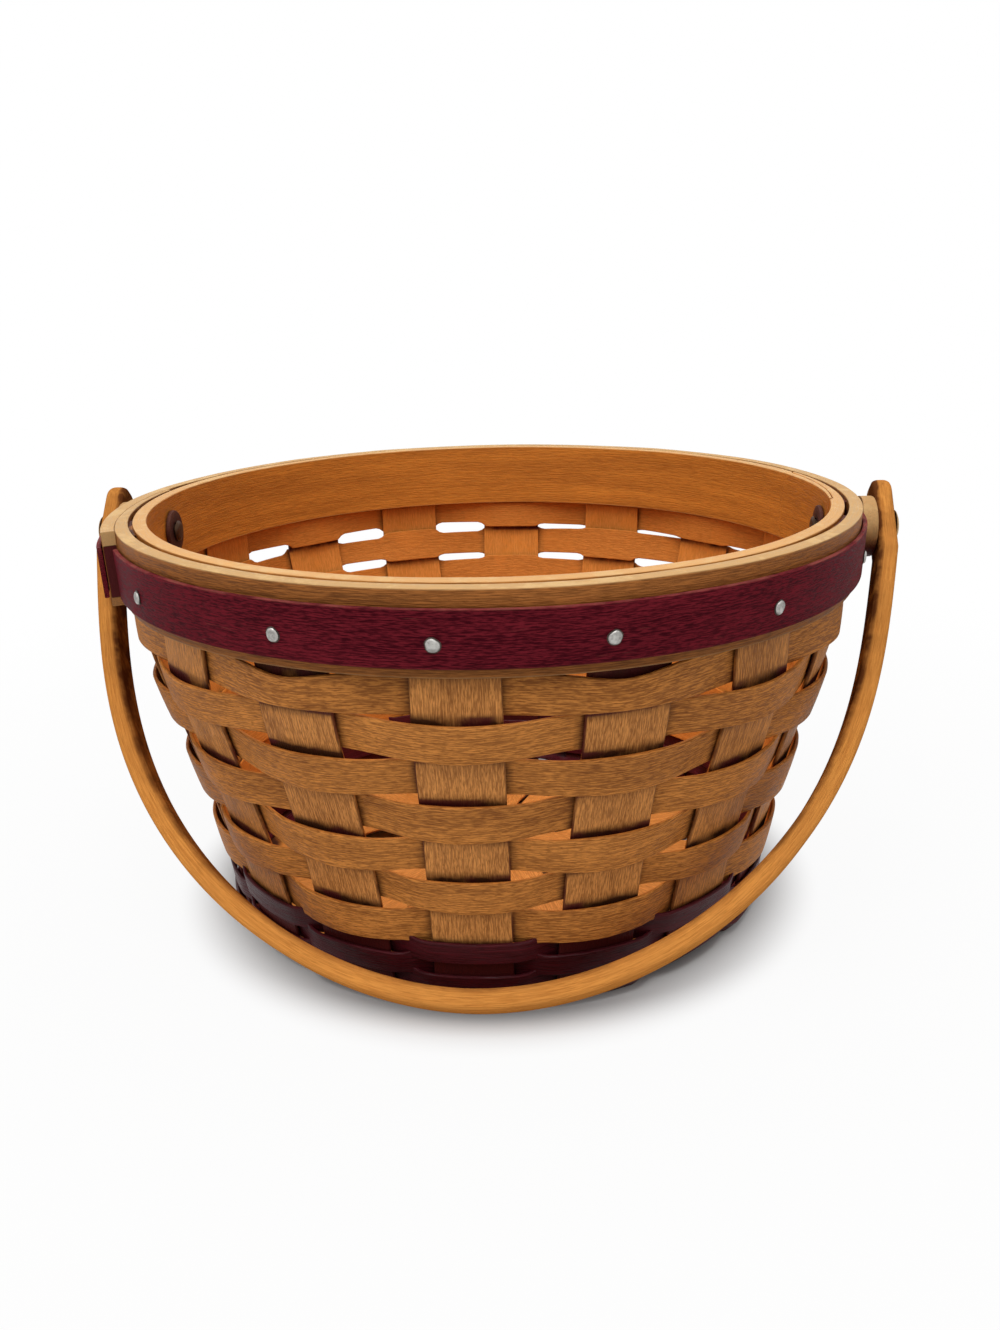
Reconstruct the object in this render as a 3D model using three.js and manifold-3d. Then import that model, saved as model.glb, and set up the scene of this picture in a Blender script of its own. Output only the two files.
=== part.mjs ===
import * as THREE from 'three';
import { mergeVertices } from 'three/addons/utils/BufferGeometryUtils.js';
import Module from 'manifold-3d';

// Round splint basket with a swing handle, in millimetres.
// +Z is up, the floor is z = 0, the handle pivots on X and its grip lies to the front, at -Y.

const wasm = await Module();
wasm.setup();

// Wall: diameters are those of the middle of the upright splints, except the rim's
const rimDiameter = 204;
const rimHeight = 116;
const shoulderDiameter = 193.6;
const shoulderBelowRim = 30;
const footDiameter = 156.8;
const footRise = 4.5;
const footLeanDegrees = 5;

// Splints and weave
const uprightSplints = 8;
const uprightWidth = 20;
const uprightThickness = 1;
const uprightWaist = 8;
const uprightInset = 1;
const sectorGap = 0.6;
const weaverWidth = 10;
const weaverThickness = 1;
const weaverBulge = 0.8;
const weaverEdgeMargin = 0.3;
const narrowRows = 5;
const narrowWidth = 4.6;
const narrowBulge = 0.2;
const rowClearance = 0.6;
const rowSpread = 0.08;

// Rim bands and trim
const bandHeight = 19.6;
const bandThickness = 3.3;
const trimWidth = 13.2;
const trimThickness = 1.2;
const trimBelowRim = 3.9;
const scarfEdge = 0.7;

// Tacks, at the angles seen round the front and about as far apart round the back
const tackAngles = [220, 248, 268, 289, 313, 344, 25, 47, 70, 92, 113];
const tackBelowRim = 11.6;
const tackHeadDiameter = 3.6;
const tackHeadHeight = 0.6;
const tackShankDiameter = 1.4;

// Handle and its pivots
const pivotBelowRim = 9.8;
const handleThickness = 5.2;
const handleWidth = 11;
const handleTip = 14;
const handleEdgeRound = 1.3;
const handleFullness = 1.93;
const handlePinch = 2.4;
const handleFootGap = 0.5;
const handleFloorGap = 2;
const handleSideGap = 4.6;
const spacerDiameter = 17;
const rivetDiameter = 4;
const rivetHeadDiameter = 9;
const rivetHeadHeight = 1.3;
const clinchDiameter = 6;
const clinchHeight = 0.9;
const washerDiameter = 12;
const washerThickness = 1.2;

// Clearance left between pieces that touch, and the angles of the laps round the rim
const seatGap = 0.3;
const bandSegmentDegrees = 5;
const lapStartDegrees = 172;
const lapRampDegrees = 18;
const lapScarfDegrees = 33;
const lapEndDegrees = 206;
const trimStartDegrees = 208;
const scarfEndDegrees = -6;
const scarfDegrees = 26;

const natural = { color: 0xa8692c, roughness: 0.55, metalness: 0 };
const naturalPale = { color: 0xb97a38, roughness: 0.55, metalness: 0 };
const burgundy = { color: 0x561522, roughness: 0.6, metalness: 0 };
const steel = { color: 0x9c9a94, roughness: 0.45, metalness: 0.9 };
const darkWood = { color: 0x4a2320, roughness: 0.6, metalness: 0 };
const brass = { color: 0x8a6a3c, roughness: 0.4, metalness: 0.9 };

const basket = new THREE.Group();

function addPiece(name, geometry, finish) {
  const mesh = new THREE.Mesh(geometry, new THREE.MeshStandardMaterial(finish));
  mesh.name = name;
  basket.add(mesh);
  return mesh;
}

function radians(degrees) {
  return THREE.MathUtils.degToRad(degrees);
}

// Turns the faces of a closed geometry outwards
function outward(geometry) {
  const position = geometry.getAttribute('position');
  const index = geometry.getIndex();
  const corners = [new THREE.Vector3(), new THREE.Vector3(), new THREE.Vector3()];
  let volume = 0;
  for (let i = 0; i < index.count; i += 3) {
    corners.forEach((corner, j) => corner.fromBufferAttribute(position, index.getX(i + j)));
    volume += corners[0].dot(corners[1].clone().cross(corners[2]));
  }
  if (volume < 0) {
    geometry.setIndex([...index.array].reverse());
  }
  geometry.computeVertexNormals();
  return geometry;
}

// Closed skin through sections of equal point count, as a ring or with both ends capped.
// Each section lists one long side from left to right, then the other from right to left.
function loft(sections, isRing) {
  const count = sections[0].length;
  const positions = sections.flat().flatMap((point) => [point.x, point.y, point.z]);
  const indices = [];
  const spans = isRing ? sections.length : sections.length - 1;
  for (let i = 0; i < spans; i += 1) {
    const here = i * count;
    const next = ((i + 1) % sections.length) * count;
    for (let j = 0; j < count; j += 1) {
      const k = (j + 1) % count;
      indices.push(here + j, next + j, next + k, here + j, next + k, here + k);
    }
  }
  if (!isRing) {
    const last = (sections.length - 1) * count;
    for (let j = 0; j < count / 2 - 1; j += 1) {
      const [a, b, c, d] = [j, j + 1, count - 2 - j, count - 1 - j];
      indices.push(a, b, c, a, c, d);
      indices.push(last + a, last + c, last + b, last + a, last + d, last + c);
    }
  }
  const geometry = new THREE.BufferGeometry();
  geometry.setAttribute('position', new THREE.Float32BufferAttribute(positions, 3));
  geometry.setIndex(indices);
  return outward(geometry);
}

function toSolid(geometry) {
  const bare = geometry.clone();
  bare.deleteAttribute('normal');
  bare.deleteAttribute('uv');
  const merged = mergeVertices(bare, 1e-4);
  return new wasm.Manifold(new wasm.Mesh({
    numProp: 3,
    vertProperties: new Float32Array(merged.getAttribute('position').array),
    triVerts: new Uint32Array(merged.getIndex().array),
  }));
}

function toGeometry(solid) {
  const mesh = solid.getMesh();
  const geometry = new THREE.BufferGeometry();
  geometry.setAttribute('position', new THREE.Float32BufferAttribute(mesh.vertProperties, 3));
  geometry.setIndex([...mesh.triVerts]);
  geometry.computeVertexNormals();
  return geometry;
}

function cut(geometry, tools) {
  return toGeometry(tools.reduce((solid, tool) => solid.subtract(toSolid(tool)), toSolid(geometry)));
}

function bore(diameter, length, sides) {
  return new THREE.CylinderGeometry(diameter / 2, diameter / 2, length, sides);
}

// Pivot holes run along X through the rim and the uprights behind it at both sides
const pivotHeight = rimHeight - pivotBelowRim;
const pivotHole = rivetDiameter + 2 * seatGap;
const pivotSides = 20;
const pivotTool = bore(pivotHole, 2 * rimDiameter, pivotSides).rotateZ(Math.PI / 2);
pivotTool.translate(0, 0, pivotHeight);

// Wall profile, from the middle of the base to the rim, as radius and height
const weaveReach = (uprightThickness + weaverThickness) / 2 + seatGap;
const baseLevel = weaveReach + weaverThickness / 2;
const rimWallRadius = rimDiameter / 2 - bandThickness - seatGap - uprightThickness / 2;
const foot = new THREE.Vector2(footDiameter / 2, footRise);
const shoulder = new THREE.Vector2(shoulderDiameter / 2, rimHeight - shoulderBelowRim);
const rim = new THREE.Vector2(rimWallRadius, rimHeight);
const footLean = Math.tan(radians(footLeanDegrees));
const rimSlope = (rim.x - shoulder.x) / (rim.y - shoulder.y);
const lowerReach = 0.4 * (shoulder.y - foot.y);
const upperReach = 0.1 * (shoulder.y - foot.y);
const footCorner = foot.x - (foot.y - baseLevel) * footLean;
const baseFlatRadius = footCorner - (foot.y - baseLevel);
const wallPath = new THREE.Path();
wallPath.moveTo(0, baseLevel);
wallPath.lineTo(baseFlatRadius, baseLevel);
wallPath.quadraticCurveTo(footCorner, baseLevel, foot.x, foot.y);
wallPath.bezierCurveTo(
  foot.x + lowerReach * footLean,
  foot.y + lowerReach,
  shoulder.x - upperReach * rimSlope,
  shoulder.y - upperReach,
  shoulder.x,
  shoulder.y,
);
wallPath.lineTo(rim.x, rim.y);
const wallLength = wallPath.getLength();
const chordSamples = 8;

// Point of the wall and its outward normal, a given length along the profile
function wallAt(length) {
  const part = THREE.MathUtils.clamp(length / wallLength, 0, 1);
  const point = wallPath.getPointAt(part);
  const tangent = wallPath.getTangentAt(part);
  return { radius: point.x, height: point.y, normal: new THREE.Vector2(tangent.y, -tangent.x) };
}

// Straight line across a strip's width, and how far the wall swells outside and inside it
function chordAcross(lower, upper) {
  const low = wallPath.getPointAt(lower / wallLength);
  const high = wallPath.getPointAt(Math.min(upper / wallLength, 1));
  const along = high.clone().sub(low).normalize();
  const normal = new THREE.Vector2(along.y, -along.x);
  const swells = [0];
  for (let i = 1; i < chordSamples; i += 1) {
    const part = (lower + ((upper - lower) * i) / chordSamples) / wallLength;
    swells.push(wallPath.getPointAt(part).sub(low).dot(normal));
  }
  return { low, high, normal, swellOut: Math.max(...swells), swellIn: -Math.min(...swells) };
}

function around(angle, radius, height) {
  return new THREE.Vector3(radius * Math.cos(angle), radius * Math.sin(angle), height);
}

// Upright splints: each runs up one side, across the base and up the other side
const uprightCount = 2 * uprightSplints;
const uprightPitch = (2 * Math.PI) / uprightCount;
const sectorSlope = 2 * Math.tan(uprightPitch / 2);
const waistRadius = (uprightWaist + sectorGap) / sectorSlope + 1;
const fullWidthRadius = (uprightWidth + sectorGap) / sectorSlope;
const layerRise = uprightThickness + seatGap;
const cornerSteps = 6;
const wallSteps = 12;

function uprightStations() {
  const cornerEnd = wallPath.getCurveLengths()[1];
  const top = wallLength - uprightInset;
  const half = [waistRadius, fullWidthRadius];
  for (let i = 0; i <= cornerSteps; i += 1) {
    half.push(baseFlatRadius + ((cornerEnd - baseFlatRadius) * i) / cornerSteps);
  }
  for (let i = 1; i <= wallSteps; i += 1) {
    half.push(cornerEnd + ((top - cornerEnd) * i) / wallSteps);
  }
  return [...half.map((length) => -length).reverse(), ...half];
}

function uprightSection(station, direction, layer) {
  const { radius, height, normal } = wallAt(Math.abs(station));
  const side = Math.sign(station);
  const sectorWidth = sectorSlope * radius - sectorGap;
  const width = Math.min(uprightWidth, Math.max(uprightWaist, sectorWidth));
  const climb = (fullWidthRadius - radius) / (fullWidthRadius - waistRadius);
  const lift = layer * layerRise * THREE.MathUtils.clamp(climb, 0, 1);
  const roundness = Math.max(normal.x, 0);
  const outer = [];
  const inner = [];
  for (const across of [-width / 2, 0, width / 2]) {
    const sag = (roundness * across ** 2) / (2 * radius);
    const place = (offset) => {
      const out = side * (radius - sag + offset * normal.x);
      const x = out * Math.cos(direction) - across * Math.sin(direction);
      const y = out * Math.sin(direction) + across * Math.cos(direction);
      return new THREE.Vector3(x, y, height + lift + offset * normal.y);
    };
    outer.push(place(uprightThickness / 2));
    inner.push(place(-uprightThickness / 2));
  }
  return [...outer, ...inner.reverse()];
}

for (let i = 0; i < uprightSplints; i += 1) {
  const sections = uprightStations().map((station) => uprightSection(station, i * uprightPitch, i));
  addPiece(`upright_splint_${i + 1}`, cut(loft(sections, false), [pivotTool]), natural);
}

// Weavers: closed rings, over one upright and under the next, each row turned by one upright
function weaverRing(row, lower, upper, bulge) {
  const { low, high, normal, swellOut, swellIn } = chordAcross(lower, upper);
  const reachOut = weaveReach + swellOut;
  const reachIn = weaveReach + swellIn;
  const grip = Math.asin((uprightWidth / 2 + weaverEdgeMargin) / low.x);
  const sections = [];
  for (let i = 0; i < uprightCount; i += 1) {
    const isOutside = (row + i) % 2 === 0;
    for (const part of [-1, 0, 1]) {
      const angle = i * uprightPitch + part * grip;
      const spring = part === 0 ? bulge : 0;
      const middle = isOutside ? reachOut + spring : -reachIn - spring;
      const place = (edge, offset) => around(angle, edge.x + offset * normal.x, edge.y + offset * normal.y);
      const inside = middle - weaverThickness / 2;
      const outside = middle + weaverThickness / 2;
      sections.push([place(low, inside), place(low, outside), place(high, outside), place(high, inside)]);
    }
  }
  return loft(sections, true);
}

const narrowPitch = narrowWidth + rowClearance;
const weaverStart = baseFlatRadius + (narrowRows - 1) * narrowPitch;
const weaverSpan = wallLength - bandHeight - rowClearance - weaverStart;
const weaverRows = Math.floor(weaverSpan / (weaverWidth + rowClearance));

// Rows lie a little wider apart at mid height than at the foot and under the band
function rowEdge(part) {
  return weaverStart + weaverSpan * (part - (rowSpread * Math.sin(2 * Math.PI * part)) / (2 * Math.PI));
}

for (let row = 1; row <= weaverRows; row += 1) {
  const lower = rowEdge((weaverRows - row) / weaverRows) + rowClearance / 2;
  const upper = rowEdge((weaverRows - row + 1) / weaverRows) - rowClearance / 2;
  addPiece(`weaver_row_${row}`, weaverRing(row, lower, upper, weaverBulge), natural);
}
for (let row = 1; row <= narrowRows; row += 1) {
  const middle = weaverStart - (row - 0.5) * narrowPitch;
  const isBelowFoot = row > narrowRows - 2;
  const bulge = isBelowFoot ? 0 : narrowBulge;
  const ring = weaverRing(weaverRows + row, middle - narrowWidth / 2, middle + narrowWidth / 2, bulge);
  addPiece(`base_weaver_row_${row}`, ring, burgundy);
}

// Rim pieces are placed by their drop below the rim and their offset from the uprights' middle
const rimChord = chordAcross(wallLength - bandHeight, wallLength);
const rimLean = Math.atan2(rimChord.high.x - rimChord.low.x, rimChord.high.y - rimChord.low.y);
const rimDown = rimChord.low.clone().sub(rimChord.high).normalize();
const bandClear = uprightThickness / 2 + seatGap + Math.max(rimChord.swellOut, rimChord.swellIn);
const outerBandFace = bandClear + bandThickness;
const innerBandFace = -bandClear - bandThickness;
const trimBack = outerBandFace + seatGap;
const trimFace = trimBack + trimThickness;

function rimRadius(drop, offset) {
  return rimChord.high.x + drop * rimDown.x + offset * rimChord.normal.x;
}

function rimLevel(drop, offset) {
  return rimChord.high.y + drop * rimDown.y + offset * rimChord.normal.y;
}

// Radius, at a given height, of the rim face that lies at an offset
function rimFaceAt(height, offset) {
  return rimRadius((height - rimLevel(0, offset)) / rimDown.y, offset);
}

// Section of a rim strip at a place round the rim
function rimSection(place, top, bottom, inside, outside) {
  const corner = (drop, offset) => {
    return around(place.angle, rimRadius(drop, offset) + place.shift, rimLevel(drop, offset));
  };
  return [corner(bottom, inside), corner(bottom, outside), corner(top, outside), corner(top, inside)];
}

// Thickness of the outer band where it starts, scarfed, under its own lapped end
function lapThickness(degrees) {
  const part = THREE.MathUtils.clamp((degrees - lapStartDegrees) / lapScarfDegrees, 0, 1);
  return scarfEdge + (bandThickness - scarfEdge) * part;
}

// How far the lapped end stands out from the rim at an angle
function lapShift(degrees) {
  const climb = (degrees - lapStartDegrees + lapRampDegrees) / lapRampDegrees;
  return THREE.MathUtils.clamp(climb, 0, 1) * (lapThickness(degrees) + seatGap);
}

// Places from a start angle round the rim and out over the lap
function lappedPlaces(startDegrees) {
  const sweep = 360 + lapEndDegrees - startDegrees;
  const steps = Math.round(sweep / bandSegmentDegrees);
  const places = [];
  for (let i = 0; i <= steps; i += 1) {
    const degrees = startDegrees + (sweep * i) / steps;
    const shift = lapShift(degrees - 360);
    places.push({ angle: radians(degrees), shift, thickness: lapThickness(degrees) });
  }
  return places;
}

// Tacks
const tackHole = tackShankDiameter + 2 * seatGap;
const tackShank = trimThickness + seatGap + bandThickness;
const tackSides = 8;
const upAxis = new THREE.Vector3(0, 1, 0);

function tackGeometry() {
  const head = tackHeadDiameter / 2;
  const shank = tackShankDiameter / 2;
  const profile = [
    [0, -tackShank],
    [shank, -tackShank],
    [shank, 0],
    [head, 0],
    [head, tackHeadHeight / 2],
    [head / 2, tackHeadHeight],
    [0, tackHeadHeight],
  ];
  return new THREE.LatheGeometry(profile.map(([x, y]) => new THREE.Vector2(x, y)), tackSides);
}

function tackPose(degrees) {
  const angle = radians(degrees);
  const offset = trimFace + seatGap / 2;
  const position = around(angle, rimRadius(tackBelowRim, offset), rimLevel(tackBelowRim, offset));
  const direction = around(angle, rimChord.normal.x, rimChord.normal.y);
  return { position, turn: new THREE.Quaternion().setFromUnitVectors(upAxis, direction) };
}

const tackTools = tackAngles.map((degrees) => {
  const { position, turn } = tackPose(degrees);
  const reach = 2 * (tackShank + tackHeadDiameter);
  return bore(tackHole, reach, tackSides).applyQuaternion(turn).translate(position.x, position.y, position.z);
});

tackAngles.forEach((degrees, i) => {
  const { position, turn } = tackPose(degrees);
  const tack = addPiece(`tack_${i + 1}`, tackGeometry(), steel);
  tack.position.copy(position);
  tack.quaternion.copy(turn);
});

// Inner band: its scarfed ends overlap in one thickness, the end from the back lying inside
function scarfPlaces() {
  const places = [];
  const sweep = 360 + scarfDegrees;
  const steps = Math.round(sweep / bandSegmentDegrees);
  for (let i = 0; i <= steps; i += 1) {
    const turned = (sweep * i) / steps;
    const rise = Math.min(turned / scarfDegrees, 1);
    const fall = Math.min((sweep - turned) / scarfDegrees, 1);
    const angle = radians(scarfEndDegrees + scarfDegrees - turned);
    places.push({ angle, shift: 0, rise, fall });
  }
  return places;
}

const scarfDepth = bandThickness - 2 * scarfEdge - seatGap;

function scarfThickness(part) {
  return part < 1 ? scarfEdge + part * scarfDepth : bandThickness;
}

const innerBand = loft(scarfPlaces().map((place) => {
  const inside = -bandClear - scarfThickness(place.rise);
  const outside = innerBandFace + scarfThickness(place.fall);
  return rimSection(place, 0, bandHeight, inside, outside);
}), false);

addPiece('inner_band', cut(innerBand, [pivotTool]), naturalPale);

// Outer band and its dyed trim strip: both end over the left lap
const outerBand = loft(lappedPlaces(lapStartDegrees).map((place) => {
  return rimSection(place, 0, bandHeight, bandClear, bandClear + place.thickness);
}), false);
addPiece('outer_band', cut(outerBand, [pivotTool, ...tackTools]), naturalPale);

const trimBottom = trimBelowRim + trimWidth;
const trim = loft(lappedPlaces(trimStartDegrees).map((place) => {
  return rimSection(place, trimBelowRim, trimBottom, trimBack, trimFace);
}), false);
addPiece('trim_strip', cut(trim, [pivotTool, ...tackTools]), burgundy);

// Handle: a flat hoop, laid forwards until its grip leans on the foot, just off the floor
const rimFace = rimFaceAt(pivotHeight, trimFace);
const shoulderFace = shoulder.x + weaveReach + weaverBulge + weaverThickness / 2;
const handleInside = Math.max(rimFace, shoulderFace) + handleSideGap;
const handleHalfSpan = handleInside + handleThickness / 2;
const footFace = foot.x + weaveReach + narrowBulge + weaverThickness / 2;
const gripRun = handleThickness * Math.sin(Math.atan2(footFace, pivotHeight));
const contactReach = footFace + handleFootGap + gripRun;
const contactDrop = pivotHeight - handleFloorGap;
const contactLength = Math.hypot(contactReach, contactDrop);
const handleDepth = Math.sqrt(contactLength ** 2 - (handleWidth / 2) ** 2) - handleThickness / 2;
const restTilt = Math.atan2(contactReach, contactDrop) + Math.asin(handleWidth / 2 / contactLength);
const handleStraight = spacerDiameter / 2 + seatGap;
const handleSteps = 30;

// The legs lean in by the pinch a quarter of the way down; the scale brings the bow's peak to one
const pinchScale = 256 / 27;

function hoopPoints(grow) {
  const points = [];
  for (let i = 0; i <= handleSteps; i += 1) {
    const angle = Math.PI * (1 - i / handleSteps);
    const power = 2 / handleFullness;
    const x = Math.sign(Math.cos(angle)) * Math.abs(Math.cos(angle)) ** power;
    const y = Math.abs(Math.sin(angle)) ** power;
    const fall = handleStraight + y * (handleDepth - handleStraight + grow);
    const pinch = pinchScale * handlePinch * y * (1 - y) ** 3;
    points.push(new THREE.Vector2(x * (handleHalfSpan + grow) - Math.sign(x) * pinch, -fall));
  }
  return points;
}

function handleGeometry() {
  const outer = hoopPoints(handleThickness / 2);
  const inner = hoopPoints(-handleThickness / 2);
  const tipOf = (point) => new THREE.Vector2(point.x, handleTip);
  const first = [tipOf(outer[0]), ...outer, tipOf(outer[handleSteps])];
  const second = [tipOf(inner[0]), ...inner, tipOf(inner[handleSteps])].reverse();
  const hoop = new THREE.ExtrudeGeometry(new THREE.Shape([...first, ...second]), {
    depth: handleWidth - 2 * handleEdgeRound,
    bevelThickness: handleEdgeRound,
    bevelSize: handleEdgeRound,
    bevelOffset: -handleEdgeRound,
    bevelSegments: 2,
    curveSegments: 1,
  });
  hoop.translate(0, 0, handleEdgeRound - handleWidth / 2);
  const end = new THREE.Shape();
  const half = handleWidth / 2;
  const tipRise = handleTip - half;
  end.moveTo(-half, -2 * handleDepth);
  end.lineTo(half, -2 * handleDepth);
  end.lineTo(half, tipRise);
  end.absarc(0, tipRise, half, 0, Math.PI, false);
  end.closePath();
  const span = 2 * (handleHalfSpan + handleThickness);
  const envelope = new THREE.ExtrudeGeometry(end, { depth: span, bevelEnabled: false, curveSegments: 10 });
  envelope.translate(0, 0, -span / 2).rotateY(Math.PI / 2);
  const hole = bore(pivotHole, 2 * span, pivotSides).rotateZ(Math.PI / 2);
  const solid = toSolid(hoop).intersect(toSolid(envelope)).subtract(toSolid(hole));
  return toGeometry(solid).rotateX(Math.PI / 2);
}

const handle = addPiece('handle', handleGeometry(), naturalPale);
handle.position.set(0, 0, pivotHeight);
handle.rotation.x = -restTilt;

// Rivets, washers and spacers; the left spacer is thinner, because the lapped rim is thicker there
const handleOutside = handleInside + handleThickness;
const innerFaceRadius = rimFaceAt(pivotHeight, innerBandFace);
const washerMiddle = innerFaceRadius - (seatGap + washerThickness / 2) / Math.cos(rimLean);
const washerBack = washerMiddle - washerThickness / 2 / Math.cos(rimLean);

function rivetGeometry() {
  const shank = rivetDiameter / 2;
  const head = rivetHeadDiameter / 2;
  const clinch = clinchDiameter / 2;
  const outerSeat = handleOutside + seatGap;
  const innerSeat = washerBack - seatGap - Math.tan(Math.abs(rimLean)) * clinch;
  const profile = [
    [0, innerSeat - clinchHeight],
    [clinch * 0.7, innerSeat - clinchHeight],
    [clinch, innerSeat - clinchHeight / 2],
    [clinch, innerSeat],
    [shank, innerSeat],
    [shank, outerSeat],
    [head, outerSeat],
    [head, outerSeat + rivetHeadHeight / 3],
    [head * 0.6, outerSeat + rivetHeadHeight * 0.85],
    [0, outerSeat + rivetHeadHeight],
  ];
  return new THREE.LatheGeometry(profile.map(([x, y]) => new THREE.Vector2(x, y)), pivotSides);
}

function washerGeometry(side) {
  const facing = new THREE.Vector3(side * rimChord.normal.x, 0, rimChord.normal.y);
  const turn = new THREE.Quaternion().setFromUnitVectors(upAxis, facing);
  const washer = bore(washerDiameter, washerThickness, pivotSides).applyQuaternion(turn);
  return cut(washer.translate(side * washerMiddle, 0, pivotHeight), [pivotTool]);
}

function spacerGeometry(side) {
  const lapDegrees = 180 + THREE.MathUtils.radToDeg(Math.asin(spacerDiameter / rimDiameter));
  const seatFace = trimFace + seatGap + (side < 0 ? lapShift(lapDegrees) : 0);
  const seatTop = pivotHeight + spacerDiameter;
  const seatBottom = pivotHeight - spacerDiameter;
  const seat = [
    [0, seatBottom],
    [rimFaceAt(seatBottom, seatFace), seatBottom],
    [rimFaceAt(seatTop, seatFace), seatTop],
    [0, seatTop],
  ];
  const seatSteps = 144;
  const seatPoints = seat.map(([x, y]) => new THREE.Vector2(x, y));
  const drum = new THREE.LatheGeometry(seatPoints, seatSteps).rotateX(Math.PI / 2);
  const length = handleInside - seatGap - innerFaceRadius;
  const disc = bore(spacerDiameter, length, pivotSides).rotateZ(Math.PI / 2);
  disc.translate(side * (innerFaceRadius + length / 2), 0, pivotHeight);
  return cut(disc, [drum, pivotTool]);
}

for (const [name, side] of [['left', -1], ['right', 1]]) {
  const rivet = addPiece(`${name}_rivet`, rivetGeometry(), brass);
  rivet.position.set(0, 0, pivotHeight);
  rivet.rotation.z = (-side * Math.PI) / 2;
  addPiece(`${name}_washer`, washerGeometry(side), darkWood);
  addPiece(`${name}_spacer`, spacerGeometry(side), naturalPale);
}

export default basket;
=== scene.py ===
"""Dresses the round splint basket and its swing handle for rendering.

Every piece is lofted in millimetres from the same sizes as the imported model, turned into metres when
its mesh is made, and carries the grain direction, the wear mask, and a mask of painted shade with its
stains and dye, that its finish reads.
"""

import logging
import math
from dataclasses import dataclass
from enum import Enum
from typing import Optional, Sequence, Union

import bpy
import numpy as np
from mathutils import Matrix, Vector


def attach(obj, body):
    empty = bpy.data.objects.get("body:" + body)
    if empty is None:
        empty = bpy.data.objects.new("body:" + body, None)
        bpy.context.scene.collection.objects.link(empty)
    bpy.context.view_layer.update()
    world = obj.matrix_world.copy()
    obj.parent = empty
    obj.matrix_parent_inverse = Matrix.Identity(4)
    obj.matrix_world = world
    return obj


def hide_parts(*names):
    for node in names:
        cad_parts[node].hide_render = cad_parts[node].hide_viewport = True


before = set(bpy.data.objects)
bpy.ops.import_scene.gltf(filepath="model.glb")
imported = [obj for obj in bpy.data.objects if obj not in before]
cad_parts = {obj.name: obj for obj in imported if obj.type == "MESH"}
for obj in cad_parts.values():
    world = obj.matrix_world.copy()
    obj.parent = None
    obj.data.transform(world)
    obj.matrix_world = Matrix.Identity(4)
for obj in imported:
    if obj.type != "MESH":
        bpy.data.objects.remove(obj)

LOG = logging.getLogger("basket")
MM = 0.001
IMAGE_HEIGHT = 1330
SENSOR_HEIGHT = 36.0
SHARP_ANGLE = math.radians(50)


class Body(Enum):
    """The two moving bodies that pieces ride on."""

    BASKET = "basket"
    HANDLE = "handle"


class Side(Enum):
    """The two pivots, by their sign along X."""

    LEFT = -1
    RIGHT = 1


class Slot(Enum):
    """The material slots of the record."""

    SPLINT = "splint_wood"
    BAND = "band_wood"
    BURGUNDY = "burgundy_wood"
    TACK = "tack_steel"
    RIVET = "rivet_brass"
    DARK = "dark_wood"


Colour = tuple[float, float, float]
Numbers = Union[float, np.ndarray]
Feed = Union[bpy.types.NodeSocket, float, Sequence[float]]
Profile = Sequence[tuple[float, float]]


# Shader graphs


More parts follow.
